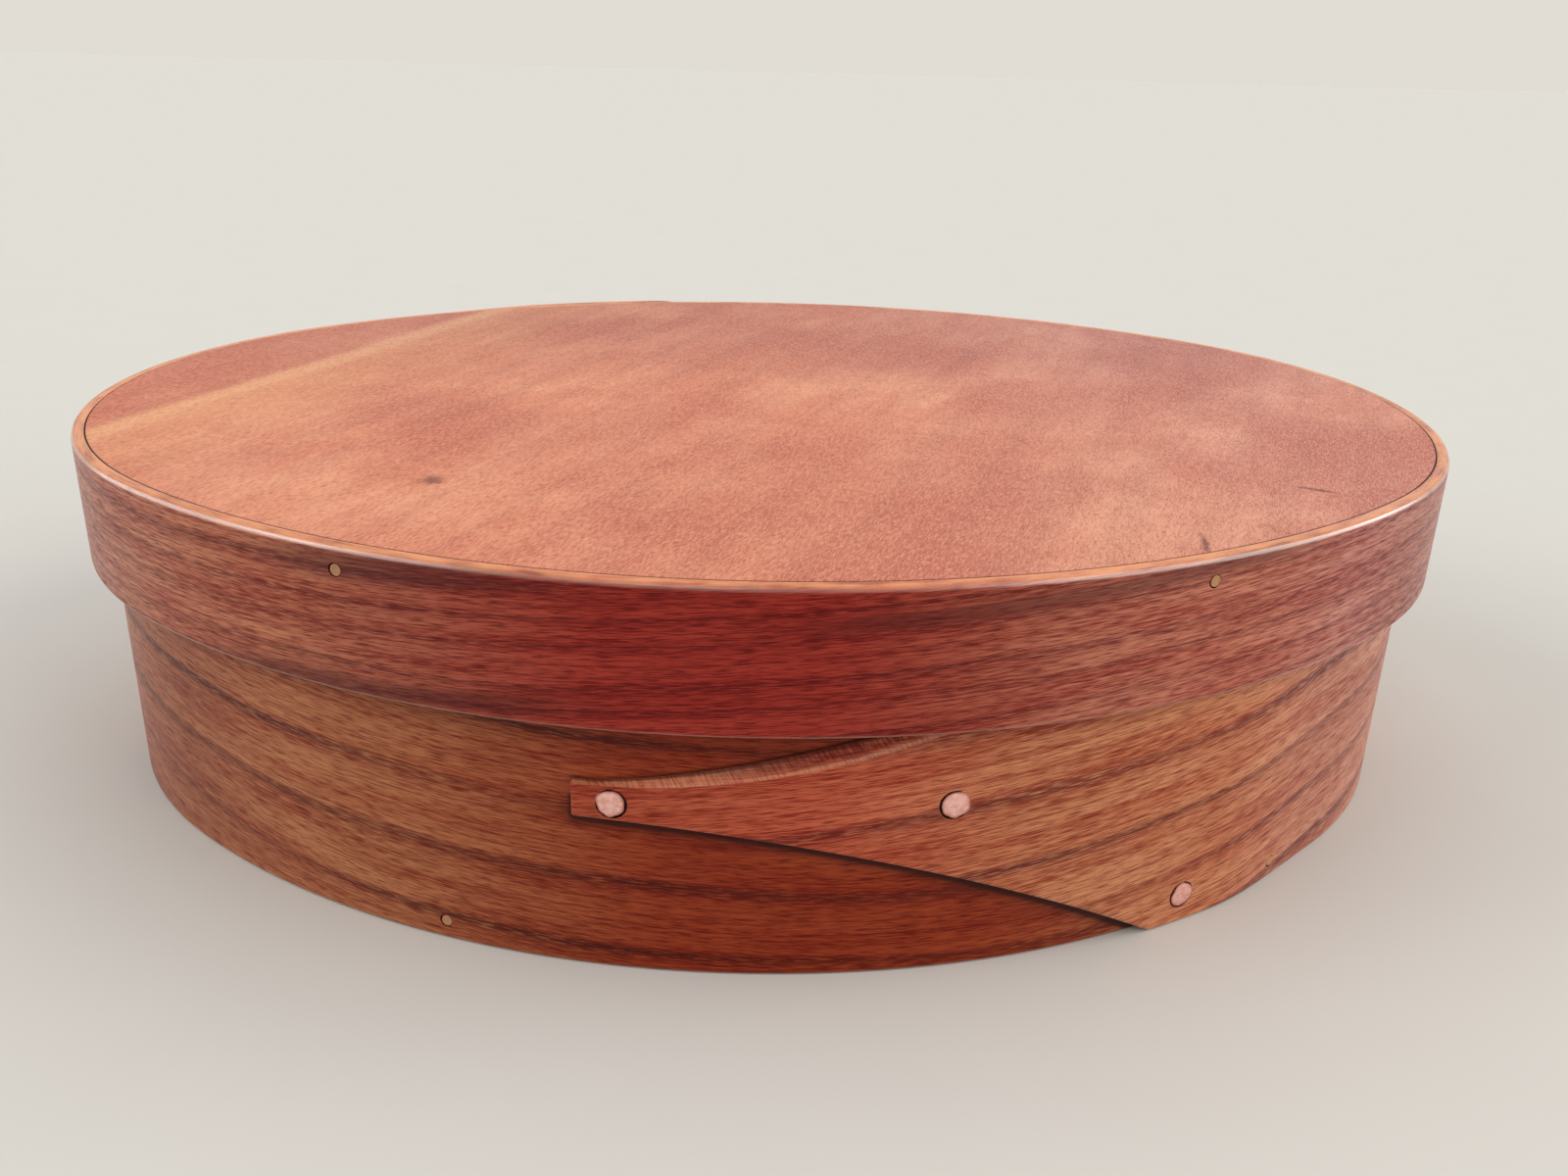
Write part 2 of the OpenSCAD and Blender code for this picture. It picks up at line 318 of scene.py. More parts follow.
class Effects:
    """Shader groups that the finishes share, each built once. X of a place runs along the grain."""

    SLOW_RATE = (0.011, 0.02, 0.0)
    QUICK_RATE = (0.03, 0.09, 0.0)
    QUICK_REACH = 1.5
    SKIP_RATE = 0.16
    DRAWN_RATE = 0.012
    DRAWN_STRENGTH = (0.32, 0.66, 0.3, 1.0)
    LINE_FULL = 0.36
    LINE_FALL = 0.3
    SEASON = (0.45, 1.0)
    COARSE = (1.6, 2.4, 2.4)
    COARSE_SHARE = 0.28
    DARK_FIBRES = (0.5, 0.41)
    PALE_FIBRES = (0.5, 0.59)
    CLOUDS = (0.35, 0.65)
    RIPPLE_SIZE = (0.16, 0.5, 0.5)
    RIPPLES = (0.3, 0.7)
    PATCH_RATE = (0.12, 0.5, 0.5)
    PATCHES = (0.3, 0.62, 0.25, 1.0)
    RAGGED_RATE = (0.5, 0.9, 0.0)
    MARK_EDGE = (0.9, 0.15)
    NOOK_CORE = (0.5, 0.2, 0.0, 0.55)
    NOOK_FRINGE = (1.15, 0.0, 0.0, 0.45)
    NOOK_ABOVE = 0.6
    NOOK_SPREAD = 1.2
    NOOK_HIDDEN = 0.55
    NOOK_REACH = 2.0
    NOOK_FADE = 0.5

    def __init__(self) -> None:
        """Builds the groups."""
        self.growth = self._growth()
        self.pores = self._pores()
        self.mottle = self._mottle()
        self.wear_and_light = self._wear_and_light()
        self.gum_mark = self._gum_mark()
        self.nook = self._nook()

    def _growth(self) -> bpy.types.NodeTree:
        """Builds growth rings: pale early wood that darkens to a thin line.

        Returns:
            The group, with the line's mask, the darkening before it and the ring's own tone.
        """
        values = ("Spacing", "Breadth", "Sway", "Uneven", "Seed")
        made = NodeGroup.effect("growth_rings", values, ("Line", "Season", "Tone"))
        place, spacing, breadth, sway, uneven, seed = made.entry.values()
        along, across, _ = made.parts(place)
        slow = made.noise(place * self.SLOW_RATE, seed, 1.0)
        quick = made.noise(place * self.QUICK_RATE, seed, 1.0)
        skip = made.noise(made.join(0.0, across * self.SKIP_RATE), seed, 0.0)
        moved = across + (slow - 0.5) * sway + (quick - 0.5) * self.QUICK_REACH + (skip - 0.5) * uneven
        ring = moved / spacing
        season = made.compute("FRACT", ring)
        number = made.compute("FLOOR", ring)
        drawn = made.noise(made.join(number, along * self.DRAWN_RATE), seed, 1.0)
        edge = made.smooth(season, 1.0 - breadth, 1.0 - breadth * self.LINE_FULL)
        drop = made.smooth(season, 1.0 - breadth * self.LINE_FALL, 1.0, 1.0, 0.0)
        line = edge * drop * made.smooth(drawn, *self.DRAWN_STRENGTH)
        tone = made.noise(made.join(number, 0.5), seed, 0.0)
        return made.result(Line=line, Season=made.smooth(season, *self.SEASON), Tone=tone)

    def _pores(self) -> bpy.types.NodeTree:
        """Builds fine fibres along the grain.

        Returns:
            The group, with dark fibres, pale fibres and the height that they leave.
        """
        made = NodeGroup.effect("grain_flecks", ("Length", "Width", "Seed"), ("Dark", "Pale", "Height"))
        place, length, width, seed = made.entry.values()
        size = made.join(length, width, width)
        fine = made.noise(place / size, seed)
        coarse = made.noise(place / (size * self.COARSE), seed, 1.0)
        height = fine * (1 - self.COARSE_SHARE) + coarse * self.COARSE_SHARE
        dark, pale = made.smooth(height, *self.DARK_FIBRES), made.smooth(height, *self.PALE_FIBRES)
        return made.result(Dark=dark, Pale=pale, Height=height)

    def _mottle(self) -> bpy.types.NodeTree:
        """Builds the cloudy figure of cherry, and the ripple across its grain.

        Returns:
            The group, with the clouds and the ripple.
        """
        made = NodeGroup.effect("cloudy_figure", ("Size", "Stretch", "Seed"), ("Cloud", "Ripple"))
        place, size, stretch, seed = made.entry.values()
        cloud = made.noise(place / made.join(size * stretch, size, size), seed, 3.0, 0.55)
        ripple = made.noise(place / (made.join(size, size, size) * self.RIPPLE_SIZE), seed)
        return made.result(Cloud=made.smooth(cloud, *self.CLOUDS), Ripple=made.smooth(ripple, *self.RIPPLES))

    def _wear_and_light(self) -> bpy.types.NodeTree:
        """Builds the handling of an arris: a worn line with gaps, which also paints a band's top paler as
        painted light.

        Returns:
            The group, with the mask of worn arrises and painted light.
        """
        made = NodeGroup.effect("rubbed_and_lit_arris", ("Arris", "Seed"), ("Rubbed",))
        place, arris, seed = made.entry.values()
        patch = made.noise(place * self.PATCH_RATE, seed, 3.0)
        return made.result(Rubbed=arris * made.smooth(patch, *self.PATCHES))

    def _gum_mark(self) -> bpy.types.NodeTree:
        """Builds one small dark gum mark, as cherry often has. Its place is counted from its middle.

        Returns:
            The group, with the mark's mask.
        """
        made = NodeGroup.effect("gum_mark", ("Turn", "Length", "Width"), ("Mark",))
        place, turn, length, width = made.entry.values()
        feeds = {"Vector": place, "Angle": turn * -1.0}
        turned = made.out("ShaderNodeVectorRotate", feeds, rotation_type="Z_AXIS")
        ragged = made.noise(turned * self.RAGGED_RATE, 3.0, 3.0, 0.6)
        x, y, _ = made.parts(turned / made.join(length, width, 1.0))
        away = (x * x + y * y).root() + (ragged - 0.5)
        return made.result(Mark=made.smooth(away, *self.MARK_EDGE))

    def _nook(self) -> bpy.types.NodeTree:
        """Builds painted shadow on a strip in the nook round its lapped finger, widest and darkest below the
        finger's lower edge.

        Returns:
            The group, with the nook's mask.
        """
        values = (
            "Turn", "Radius", "Wall", "Tip Reach", "Tip Height", "Curve Radius", "Narrow Bevel", "Wide Bevel",
            "Bevel Start", "Bevel Run", "Middle", "Half Height", "Width",
        )
        made = NodeGroup.effect("finger_nook_shadow", values, ("Nook",))
        place, turn, radius, wall, tip_reach, tip_height, curve, *others = made.entry.values()
        narrow, wide, bevel_start, bevel_run, middle, half_height, width = others
        along, height, _ = made.parts(place)
        around = along - turn
        behind = (radius + wall) * (around / radius).sine() + tip_reach
        run = behind.at_least(0.0).at_most(curve)
        half = tip_height * 0.5 + (curve - (curve * curve - run * run).root())
        level = height - middle
        below = 1.0 - level.over(0.0)
        share = ((behind - bevel_start) / bevel_run).at_least(0.0).at_most(1.0)
        bevel = (wide - narrow) * (share * (math.pi / 2)).sine() + narrow
        half = half + bevel * (1.0 - below) + below * (wall * self.NOOK_HIDDEN)
        beside = (abs(level) - half).at_least(0.0)
        before = (behind * -1.0).at_least(0.0)
        away = (beside * beside + before * before).root() / (width * (below * self.NOOK_SPREAD + 1.0))
        mask = made.smooth(away, *self.NOOK_CORE) + made.smooth(away, *self.NOOK_FRINGE)
        mask = mask * (below * (1.0 - self.NOOK_ABOVE) + self.NOOK_ABOVE)
        on_base = around.over(tip_reach * -self.NOOK_REACH)
        on_face = made.smooth(level, half_height, half_height - self.NOOK_FADE)
        return made.result(Nook=mask * on_base * on_face)


# Finishes

STREAK_SEED = 5
FIGURE_SEED = 11
CLOUD_SEED = 23
WANDER_SEED = 31


class Surface(Wiring):
    """A material that holds one Principled BSDF."""

    def __init__(self, name: str) -> None:
        """Makes the material.

        Args:
            name: The material's name.
        """
        self.material = bpy.data.materials.new(name)
        self.material.use_nodes = True
        super().__init__(self.material.node_tree)
        self.shader = self.tree.nodes["Principled BSDF"]

    def place(self) -> Field:
        """Reads the place on the object, in millimetres."""
        return self.out("ShaderNodeTexCoord", output="Object") * (1 / MM)

    def mask(self, name: str) -> Field:
        """Reads a mask that the mesh carries."""
        return self.out("ShaderNodeAttribute", output="Fac", attribute_name=name)

    def finish(self, relief: Field, strength: float, depth: float, feeds: Feeds) -> bpy.types.Material:
        """Feeds the Principled BSDF.

        Args:
            relief: Height of the fine relief.
            strength: How strongly the relief shows.
            depth: Its depth.
            feeds: What goes into the other inputs.

        Returns:
            The material.
        """
        bump = self.out("ShaderNodeBump", {"Height": relief, "Strength": strength, "Distance": depth})
        for name, value in {**feeds, "Normal": bump}.items():
            self.feed(self.shader.inputs[name], value)
        return self.material


@dataclass(frozen=True, kw_only=True)
class Palette:
    """Colours of a piece of cherry.

    Attributes:
        pale: Pale early wood.
        warm: The usual colour.
        deep: Wood before a growth line.
        line: The growth line.
        pore: Dark fibres.
        painted_shade: Painted shade in holes, in the nook round a band's finger, at the foot of its bevel and
            in a board's joint.
    """

    pale: Colour
    warm: Colour
    deep: Colour
    line: Colour
    pore: Colour
    painted_shade: Colour = srgb(46, 10, 8)


@dataclass(frozen=True, kw_only=True)
class BandPalette(Palette):
    """Colours of a band, which has worn arrises, a cut bevel, and painted light and shade on both.

    Attributes:
        rubbed_and_lit: Arrises that hands have worn, the band's top painted paler as painted light, and the
            painted highlight on the finger's upper edge.
        carved_and_shaded: Dark tool marks on the cut bevel, with painted shade that keeps the bevel darker
            than the face.
    """

    rubbed_and_lit: Colour
    carved_and_shaded: Colour = srgb(112, 28, 16)


@dataclass(frozen=True)
class Drift:
    """Slow rise and fall of the growth lines along a strip, in millimetres.

    Attributes:
        height: How far the lines rise and fall.
        start: Place along the strip where they rise fastest.
        reach: Length in which a rise becomes a fall, over pi.
    """

    height: float
    start: float
    reach: float


@dataclass(frozen=True)
class DarkZone:
    """A dark patch along the grain of a strip, in millimetres.

    Attributes:
        start: Where it starts along the strip.
        end: Where it ends.
        level: Its level among the growth lines.
        half: Half its breadth.
    """

    FADE = 15.0
    SHARE = 0.6
    OUTER = 1.5
    INNER = 0.5

    start: float
    end: float
    level: float
    half: float


@dataclass(frozen=True)
class Stretch:
    """A stretch along a strip whose colour differs, in millimetres.

    Attributes:
        middle: Its middle along the strip.
        full: Half the length over which it is full.
        fade: Half the length at which it has faded out.
        tint: Factors on the wood's colour.
    """

    middle: float
    full: float
    fade: float
    tint: Colour


@dataclass(frozen=True)
class BandWood:
    """Oiled cherry whose grain follows a bent strip.

    Attributes:
        name: The material's name.
        palette: Its colours.
        drift: How its growth lines rise and fall.
        spacing: Distance between growth lines, in millimetres.
        phase: Height of one of the lines, in millimetres.
        breadth: Share of a growth ring that its dark part takes.
        sway: How far the lines wander, in millimetres.
        uneven: How far the lines' spacing varies, in millimetres.
        line_share: How strongly the lines show.
        zones: Dark patches.
        stretches: Stretches of another colour: the wood's own tone, painted shade and painted sheen.
        seed: Picks the noise.
        roughness: Roughness of the oiled surface.
    """

    NOOK_WIDTH = 1.2
    BEVEL_FROM = 14.0
    BEVEL_FULL = 40.0
    MARK_SLANT = 0.6
    MARK_RATE = (2.2, 0.3, 0.0)
    RAGGED_REACH = 3.0
    UNCUT = (0.2, 0.0)
    TOOL_MARKS = (0.58, 0.44, 0.25, 0.8)
    PALE_MARKS = (0.35, 0.6, 0.2, 0.65)
    CUT_LIT = (0.0, 0.1)
    CUT_FACE = (0.15, 0.5)
    CUT_FOOT = (0.8, 1.0)
    ARRIS_RISE = (0.0, 0.06)
    ARRIS_FALL = (0.26, 0.08)
    COAT_RISE = (0.0, 0.15)
    COAT_FALL = (0.85, 0.5)

    name: str
    palette: BandPalette
    drift: Drift
    spacing: float
    phase: float
    breadth: float
    sway: float
    uneven: float
    line_share: float
    zones: tuple[DarkZone, ...]
    stretches: tuple[Stretch, ...]
    seed: float
    roughness: float = 0.28

    def material(self, effects: Effects, band: BentBand) -> bpy.types.Material:
        """Builds the material.

        Args:
            effects: The shared node groups.
            band: The strip that it is for.

        Returns:
            The material.
        """
        made = Surface(self.name)
        colours = self.palette
        place = made.out("ShaderNodeUVMap", uv_map=BentBand.UV_MAP) * (1 / MM)
        along, height, _ = made.parts(place)
        level = height - ((along - self.drift.start) / self.drift.reach).sine() * self.drift.height
        grown = made.join(along, level - self.phase)
        rings = made.group(
            effects.growth, Place=grown, Spacing=self.spacing, Breadth=self.breadth, Sway=self.sway,
            Uneven=self.uneven, Seed=self.seed,
        )
        fibres = made.group(effects.pores, Place=grown, Length=3.2, Width=0.15, Seed=self.seed)
        streaks = made.group(
            effects.pores, Place=grown, Length=34.0, Width=0.55, Seed=self.seed + STREAK_SEED
        )
        figure = made.group(effects.mottle, Place=grown, Size=4.5, Stretch=8.0, Seed=self.seed + FIGURE_SEED)
        edge, cut = made.mask(BentBand.EDGE), made.mask(BentBand.CUT)

        tone = made.layered(
            made.blend(figure["Cloud"], colours.warm, colours.pale),
            (rings["Tone"], 0.35, colours.deep),
            (streaks["Dark"], 0.6, colours.deep),
            (streaks["Pale"], 0.4, colours.pale),
            (rings["Season"], 0.45, colours.deep),
            (rings["Line"], self.line_share, colours.line),
            (fibres["Dark"], 0.72, colours.pore),
            (fibres["Pale"], 0.6, colours.pale),
        )
        ragged = (streaks["Height"] - 0.5) * self.RAGGED_REACH + level
        for zone in self.zones:
            shaded = made.smooth(abs(ragged - zone.level), zone.OUTER * zone.half, zone.INNER * zone.half)
            begun = made.smooth(along, zone.start - zone.FADE, zone.start + zone.FADE)
            ended = made.smooth(along, zone.end + zone.FADE, zone.end - zone.FADE)
            tone = made.layered(tone, (shaded * begun * ended, zone.SHARE, colours.line))
        for stretch in self.stretches:
            near = made.smooth(abs(along - stretch.middle), stretch.fade, stretch.full)
            tone = made.blend(near, tone, stretch.tint, "MULTIPLY")

        uncut = made.smooth(cut, *self.UNCUT)
        rubbed_and_lit = made.group(effects.wear_and_light, Place=place, Arris=edge, Seed=self.seed)["Rubbed"] * uncut
        tip = band.tip / MM
        # Tool marks on the cut bevel, with painted shade that darkens it as it widens towards the lid.
        wide = made.smooth(along, tip + self.BEVEL_FROM, tip + self.BEVEL_FULL)
        slant = made.join(height * self.MARK_SLANT + along, height)
        marks = made.noise(slant * self.MARK_RATE, self.seed)
        carved_and_shaded = made.smooth(marks, *self.TOOL_MARKS) * wide * made.smooth(cut, *self.CUT_FACE)
        # Painted highlight: the finger's upper edge near the tip and a line along its bevel's arris are
        # painted pale, where light from above catches them.
        lit = made.smooth(cut, *self.CUT_LIT) * (1.0 - wide)
        arris = made.smooth(cut, *self.ARRIS_RISE) * made.smooth(cut, *self.ARRIS_FALL)
        pale = lit.at_least(arris) * made.smooth(marks, *self.PALE_MARKS)
        # Painted shade on the walls of the holes, which the drill marks with a far-off place on the strip
        # map.
        hole = made.smooth(height, BentBand.HOLE / MM / 2, BentBand.HOLE / MM * 0.75)
        tone = made.layered(
            tone,
            # Worn arrises, and painted light that makes the band's top paler.
            (rubbed_and_lit, 0.7, colours.rubbed_and_lit),
            (carved_and_shaded, 1.0, colours.carved_and_shaded),
            # Painted highlight on the finger's upper edge and bevel arris.
            (pale, 1.0, colours.rubbed_and_lit),
            # Painted shade along the foot of the finger's bevel.
            (made.smooth(cut, *self.CUT_FOOT), 0.8, colours.painted_shade),
            # Painted shadow in the nook round the finger, darkest below its lower edge.
            (self._nook(made, effects, place, band), 0.9, colours.painted_shade),
            (hole, 1.0, colours.painted_shade),
        )
        rough = fibres["Dark"] * 0.12 + self.roughness + cut * 0.15 + figure["Ripple"] * 0.06 - rubbed_and_lit * 0.1
        relief = fibres["Height"] - rings["Line"] * 0.35 + figure["Ripple"] * 0.25
        feeds = {
            "Base Color": tone,
            "Roughness": rough,
            "Specular IOR Level": 0.18,
            "Coat Weight": made.smooth(edge, *self.COAT_RISE) * made.smooth(edge, *self.COAT_FALL) * uncut,
            "Coat Roughness": 0.22,
            "Coat IOR": 1.9,
        }
        return made.finish(relief, strength=0.13, depth=0.12 * MM, feeds=feeds)

    def _nook(self, made: Surface, effects: Effects, place: Field, band: BentBand) -> Field:
        """Places the nook round the band's finger.

        Args:
            made: The material.
            effects: The shared node groups.
            place: The place on the strip.
            band: The strip.

        Returns:
            The nook's mask.
        """
        finger = band.finger
        sizes = {
            "Turn": band.oval.perimeter,
            "Radius": band.oval.side_radius,
            "Wall": band.thickness,
            "Middle": band.low + band.height / 2,
            "Half_Height": band.height / 2,
            "Tip_Reach": finger.tip_reach,
            "Tip_Height": finger.tip_height,
            "Curve_Radius": finger.curve_radius,
            "Narrow_Bevel": finger.narrow_bevel,
            "Wide_Bevel": finger.wide_bevel,
            "Bevel_Start": finger.bevel_start,
            "Bevel_Run": finger.bevel_run,
        }
        scaled = {name: size / MM for name, size in sizes.items()}
        return made.group(effects.nook, Place=place, Width=self.NOOK_WIDTH, **scaled)["Nook"]


@dataclass(frozen=True)
class GumMark:
    """A small dark mark in a board, in millimetres.

    Attributes:
        x: Its place along the box.
        y: Its place across the box.
        length: Half its length.
        width: Half its width.
        turn: Direction of its length, in degrees from X.
    """

    SHARE = 0.75

    x: float
    y: float
    length: float
    width: float
    turn: float


@dataclass(frozen=True)
class BoardWood:
    """Oiled cherry board with a cloudy figure and a stripe of pale sapwood.

    Attributes:
        name: The material's name.
        palette: Its colours.
        sapwood: Colour of the sapwood stripe.
        halo: Colour of the golden wood beside it.
        grain_turn: Direction of the grain, in degrees from X.
        stripe_place: Distance of the stripe's middle from the origin, across the grain, in millimetres.
        stripe_width: Half the stripe's width, in millimetres.
        marks: Gum marks.
        seed: Picks the noise.
        far_tint: Factors on the colour at the board's far side.
        painted_right_sheen: Factors on the colour at its right end, a painted bluish sheen.
        roughness: Roughness of the oiled surface.
    """

    FAR = (-20.0, 80.0)
    RIGHT = (-10.0, 110.0)
    WANDER_RATE = (0.016, 0.05, 0.0)
    WANDER_REACH = 7.0
    STRIPE = (1.0, 0.15)
    HALO_RISE = (-9.0, -0.5)
    HALO_FALL = (0.9, 0.0)
    BEYOND = (0.3, 1.6)
    JOINT_SHADE = (0.1, 0.5)

    name: str
    palette: Palette
    sapwood: Colour
    halo: Colour
    grain_turn: float
    stripe_place: float
    stripe_width: float
    marks: tuple[GumMark, ...]
    seed: float
    far_tint: Colour = (0.84, 0.86, 0.96, 1.0)
    painted_right_sheen: Colour = (0.94, 1.04, 1.24, 1.0)
    roughness: float = 0.48

    def material(self, effects: Effects) -> bpy.types.Material:
        """Builds the material.

        Args:
            effects: The shared node groups.

        Returns:
            The material.
        """
        made = Surface(self.name)
        colours = self.palette
        place = made.place()
        feeds = {"Vector": place, "Rotation": (0.0, 0.0, -math.radians(self.grain_turn))}
        grain = made.out("ShaderNodeMapping", feeds)
        across = made.parts(grain)[1]
        rings = made.group(
            effects.growth, Place=grain, Spacing=13.0, Breadth=0.6, Sway=16.0, Uneven=12.0, Seed=self.seed
        )
        fibres = made.group(effects.pores, Place=grain, Length=1.3, Width=0.15, Seed=self.seed)
        streaks = made.group(effects.pores, Place=grain, Length=26.0, Width=1.7, Seed=self.seed + STREAK_SEED)
        figure = made.group(effects.mottle, Place=grain, Size=15.0, Stretch=1.7, Seed=self.seed + FIGURE_SEED)
        clouds = made.group(effects.mottle, Place=grain, Size=42.0, Stretch=1.4, Seed=self.seed + CLOUD_SEED)

        wander = made.noise(grain * self.WANDER_RATE, self.seed + WANDER_SEED)
        past = ((wander - 0.5) * self.WANDER_REACH + across - self.stripe_place) / self.stripe_width
        core = made.smooth(abs(past), *self.STRIPE)
        beside = made.smooth(past, *self.HALO_RISE) * made.smooth(past, *self.HALO_FALL)
        tone = made.layered(
            made.blend(figure["Cloud"], colours.warm, colours.pale),
            (clouds["Cloud"], 0.75, colours.deep),
            (rings["Line"], 0.16, colours.line),
            (streaks["Dark"], 0.18, colours.deep),
            (made.smooth(past, *self.BEYOND), 0.5, colours.deep),
            (beside * (streaks["Pale"] * 0.35 + 0.4), 1.0, self.halo),
            (core, 0.9, self.sapwood),
            (fibres["Dark"], 0.5, colours.pore),
            (fibres["Pale"], 0.6, colours.pale),
        )
        x, y, _ = made.parts(place)
        tone = made.blend(made.smooth(y, *self.FAR), tone, self.far_tint, "MULTIPLY")
        # Painted sheen: the right end is made bluish.
        tone = made.blend(made.smooth(x, *self.RIGHT), tone, self.painted_right_sheen, "MULTIPLY")
        for mark in self.marks:
            found = made.group(
                effects.gum_mark, Place=place - (mark.x, mark.y, 0.0), Turn=math.radians(mark.turn),
                Length=mark.length, Width=mark.width,
            )
            tone = made.layered(tone, (found["Mark"], mark.SHARE, colours.line))
        # Painted shade in the bevel round the board, where it meets the band.
        joint = made.smooth(made.mask(Boards.JOINT), *self.JOINT_SHADE)
        feeds = {
            "Base Color": made.layered(tone, (joint, 0.95, colours.painted_shade)),
            "Roughness": fibres["Dark"] * 0.1 + self.roughness + figure["Ripple"] * 0.06,
            "Specular IOR Level": 0.22,
        }
        relief = figure["Ripple"] * 0.3 + fibres["Height"]
        return made.finish(relief, strength=0.16, depth=0.1 * MM, feeds=feeds)


@dataclass(frozen=True)
class HammeredCopper:
    """Dull copper of a hammered tack head.

    Attributes:
        name: The material's name.
        bright: Colour where the hammer struck.
        dull: Colour of the tarnish between.
        rim: Colour at the head's edge.
        roughness: Roughness of the tarnish.
    """

    RIM_SHADE = (0.78, 1.0)

    name: str
    bright: Colour
    dull: Colour
    rim: Colour
    roughness: float = 0.51

    def material(self, effects: Effects) -> bpy.types.Material:
        """Builds the material.

        Args:
            effects: The shared node groups.

        Returns:
            The material.
        """
        made = Surface(self.name)
        place = made.place()
        figure = made.group(effects.mottle, Place=place, Size=0.9, Stretch=1.2, Seed=4.0)
        scratches = made.group(effects.pores, Place=place, Length=0.5, Width=0.07, Seed=8.0)
        tone = made.layered(
            made.blend(figure["Cloud"], self.dull, self.bright),
            (scratches["Dark"], 0.3, self.dull),
            (made.smooth(made.mask(Fastenings.RIM), *self.RIM_SHADE), 0.8, self.rim),
        )
        rough = figure["Cloud"] * -0.1 + self.roughness
        relief = scratches["Height"] * 0.35 + figure["Ripple"]
        feeds = {"Base Color": tone, "Roughness": rough, "Metallic": 0.8}
        return made.finish(relief, strength=0.3, depth=0.05 * MM, feeds=feeds)


@dataclass(frozen=True)
class PegWood:
    """Pale end grain of a peg.

    Attributes:
        name: The material's name.
        pale: Usual colour of the end grain.
        dark: Colour of its pores and rim.
        roughness: Roughness of the cut end.
    """

    RIM_SHADE = (0.82, 1.0)

    name: str
    pale: Colour
    dark: Colour
    roughness: float = 0.5

    def material(self, effects: Effects) -> bpy.types.Material:
        """Builds the material.

        Args:
            effects: The shared node groups.

        Returns:
            The material.
        """
        made = Surface(self.name)
        place = made.place()
        pores = made.group(effects.pores, Place=place, Length=0.09, Width=0.09, Seed=2.0)
        figure = made.group(effects.mottle, Place=place, Size=1.4, Stretch=1.0, Seed=6.0)
        tone = made.layered(
            made.blend(figure["Cloud"] * 0.35, self.pale, self.dark),
            (pores["Dark"], 0.45, self.dark),
            (made.smooth(made.mask(Fastenings.RIM), *self.RIM_SHADE), 0.7, self.dark),
        )
        rough = pores["Dark"] * 0.15 + self.roughness
        feeds = {"Base Color": tone, "Roughness": rough}
        return made.finish(pores["Height"], strength=0.25, depth=0.05 * MM, feeds=feeds)


# Shapes


@dataclass(frozen=True)
class Oval:
    """Oval of four arcs: two long sides and two ends. It grows by keeping the arcs' centres.

    Attributes:
        half_length: Half its length, along X.
        half_width: Half its width, along Y.
        end_radius: Radius of an end's arc.
    """

    half_length: float
    half_width: float
    end_radius: float

    @classmethod
    def joined_at(cls, half_length: float, half_width: float, side_join: float) -> Oval:
        """Makes an oval from the heading about a side's centre, in radians, at which the side ends."""
        share = math.tan(side_join / 2)
        return cls(half_length, half_width, (half_width - half_length * share) / (1 - share))

    def grown(self, by: float) -> Oval:
        """Returns the oval that lies outside this one by a given distance."""
        return Oval(self.half_length + by, self.half_width + by, self.end_radius + by)

    @property
    def end_centre(self) -> float:
        """Distance of an end's centre from the middle."""
        return self.half_length - self.end_radius

    @property
    def side_centre(self) -> float:
        """Distance of a side's centre from the middle."""
        step = self.half_width - self.end_radius
        return (self.end_centre**2 - step**2) / (2 * step)

    @property
    def side_radius(self) -> float:
        """Radius of a side's arc."""
        return self.side_centre + self.half_width

    @property
    def side_half(self) -> float:
        """Half the angle of a side's arc, in radians."""
        return math.atan2(self.end_centre, self.side_centre)

    @property
    def side_length(self) -> float:
        """Length of a side's arc."""
        return 2 * self.side_radius * self.side_half

    @property
    def perimeter(self) -> float:
        """Length all round."""
        return 2 * self.side_length + 2 * self.end_radius * (math.pi - 2 * self.side_half)

    def wall(self, along: np.ndarray) -> tuple[np.ndarray, np.ndarray]:
        """Finds places on the oval, counted to the right from the middle of the front.

        Args:
            along: Lengths along the oval.

        Returns:
            The points and the outward directions, both as rows of X and Y.
        """
        half_turn = self.perimeter / 2
        started = np.asarray(along, float) + self.side_length / 2
        turns = np.floor(started / half_turn)
        rest = started - turns * half_turn
        way = np.where(turns % 2 == 0, 1.0, -1.0)
        on_side = rest < self.side_length
        side = rest / self.side_radius - self.side_half
        end = self.side_half + (rest - self.side_length) / self.end_radius
        heading = np.where(on_side, side, end) + np.where(way > 0, 0.0, math.pi)
        radius = np.where(on_side, self.side_radius, self.end_radius)
        centre_x = np.where(on_side, 0.0, way * self.end_centre)
        centre_y = np.where(on_side, way * self.side_centre, 0.0)
        outward = np.stack([np.sin(heading), -np.cos(heading)], -1)
        return np.stack([centre_x, centre_y], -1) + radius[..., None] * outward, outward

    def along_of(self, x: float, y: float) -> float:
        """Finds the place along the oval of a point near it.

        Args:
            x: The point's place along the oval's length.
            y: Its place across the oval.

        Returns:
            The length along the oval, to the right from the middle of the front.
        """
        turned = 0.0
        if y > 0:
            x, y, turned = -x, -y, self.perimeter / 2
        heading = math.atan2(x, self.side_centre - y)
        if abs(heading) <= self.side_half:
            return turned + heading * self.side_radius
        past = math.atan2(abs(x) - self.end_centre, -y) - self.side_half
        return turned + math.copysign(self.side_length / 2 + past * self.end_radius, x)

    def outline(self, count: int) -> np.ndarray:
        """Returns that many points round the oval, evenly apart."""
        return self.wall(np.arange(count) * self.perimeter / count)[0]


def ease(value: np.ndarray, low: float, high: float) -> np.ndarray:
    """Eases from 0 to 1 between two values."""
    share = np.clip((value - low) / (high - low), 0.0, 1.0)
    return share * share * (3 - 2 * share)


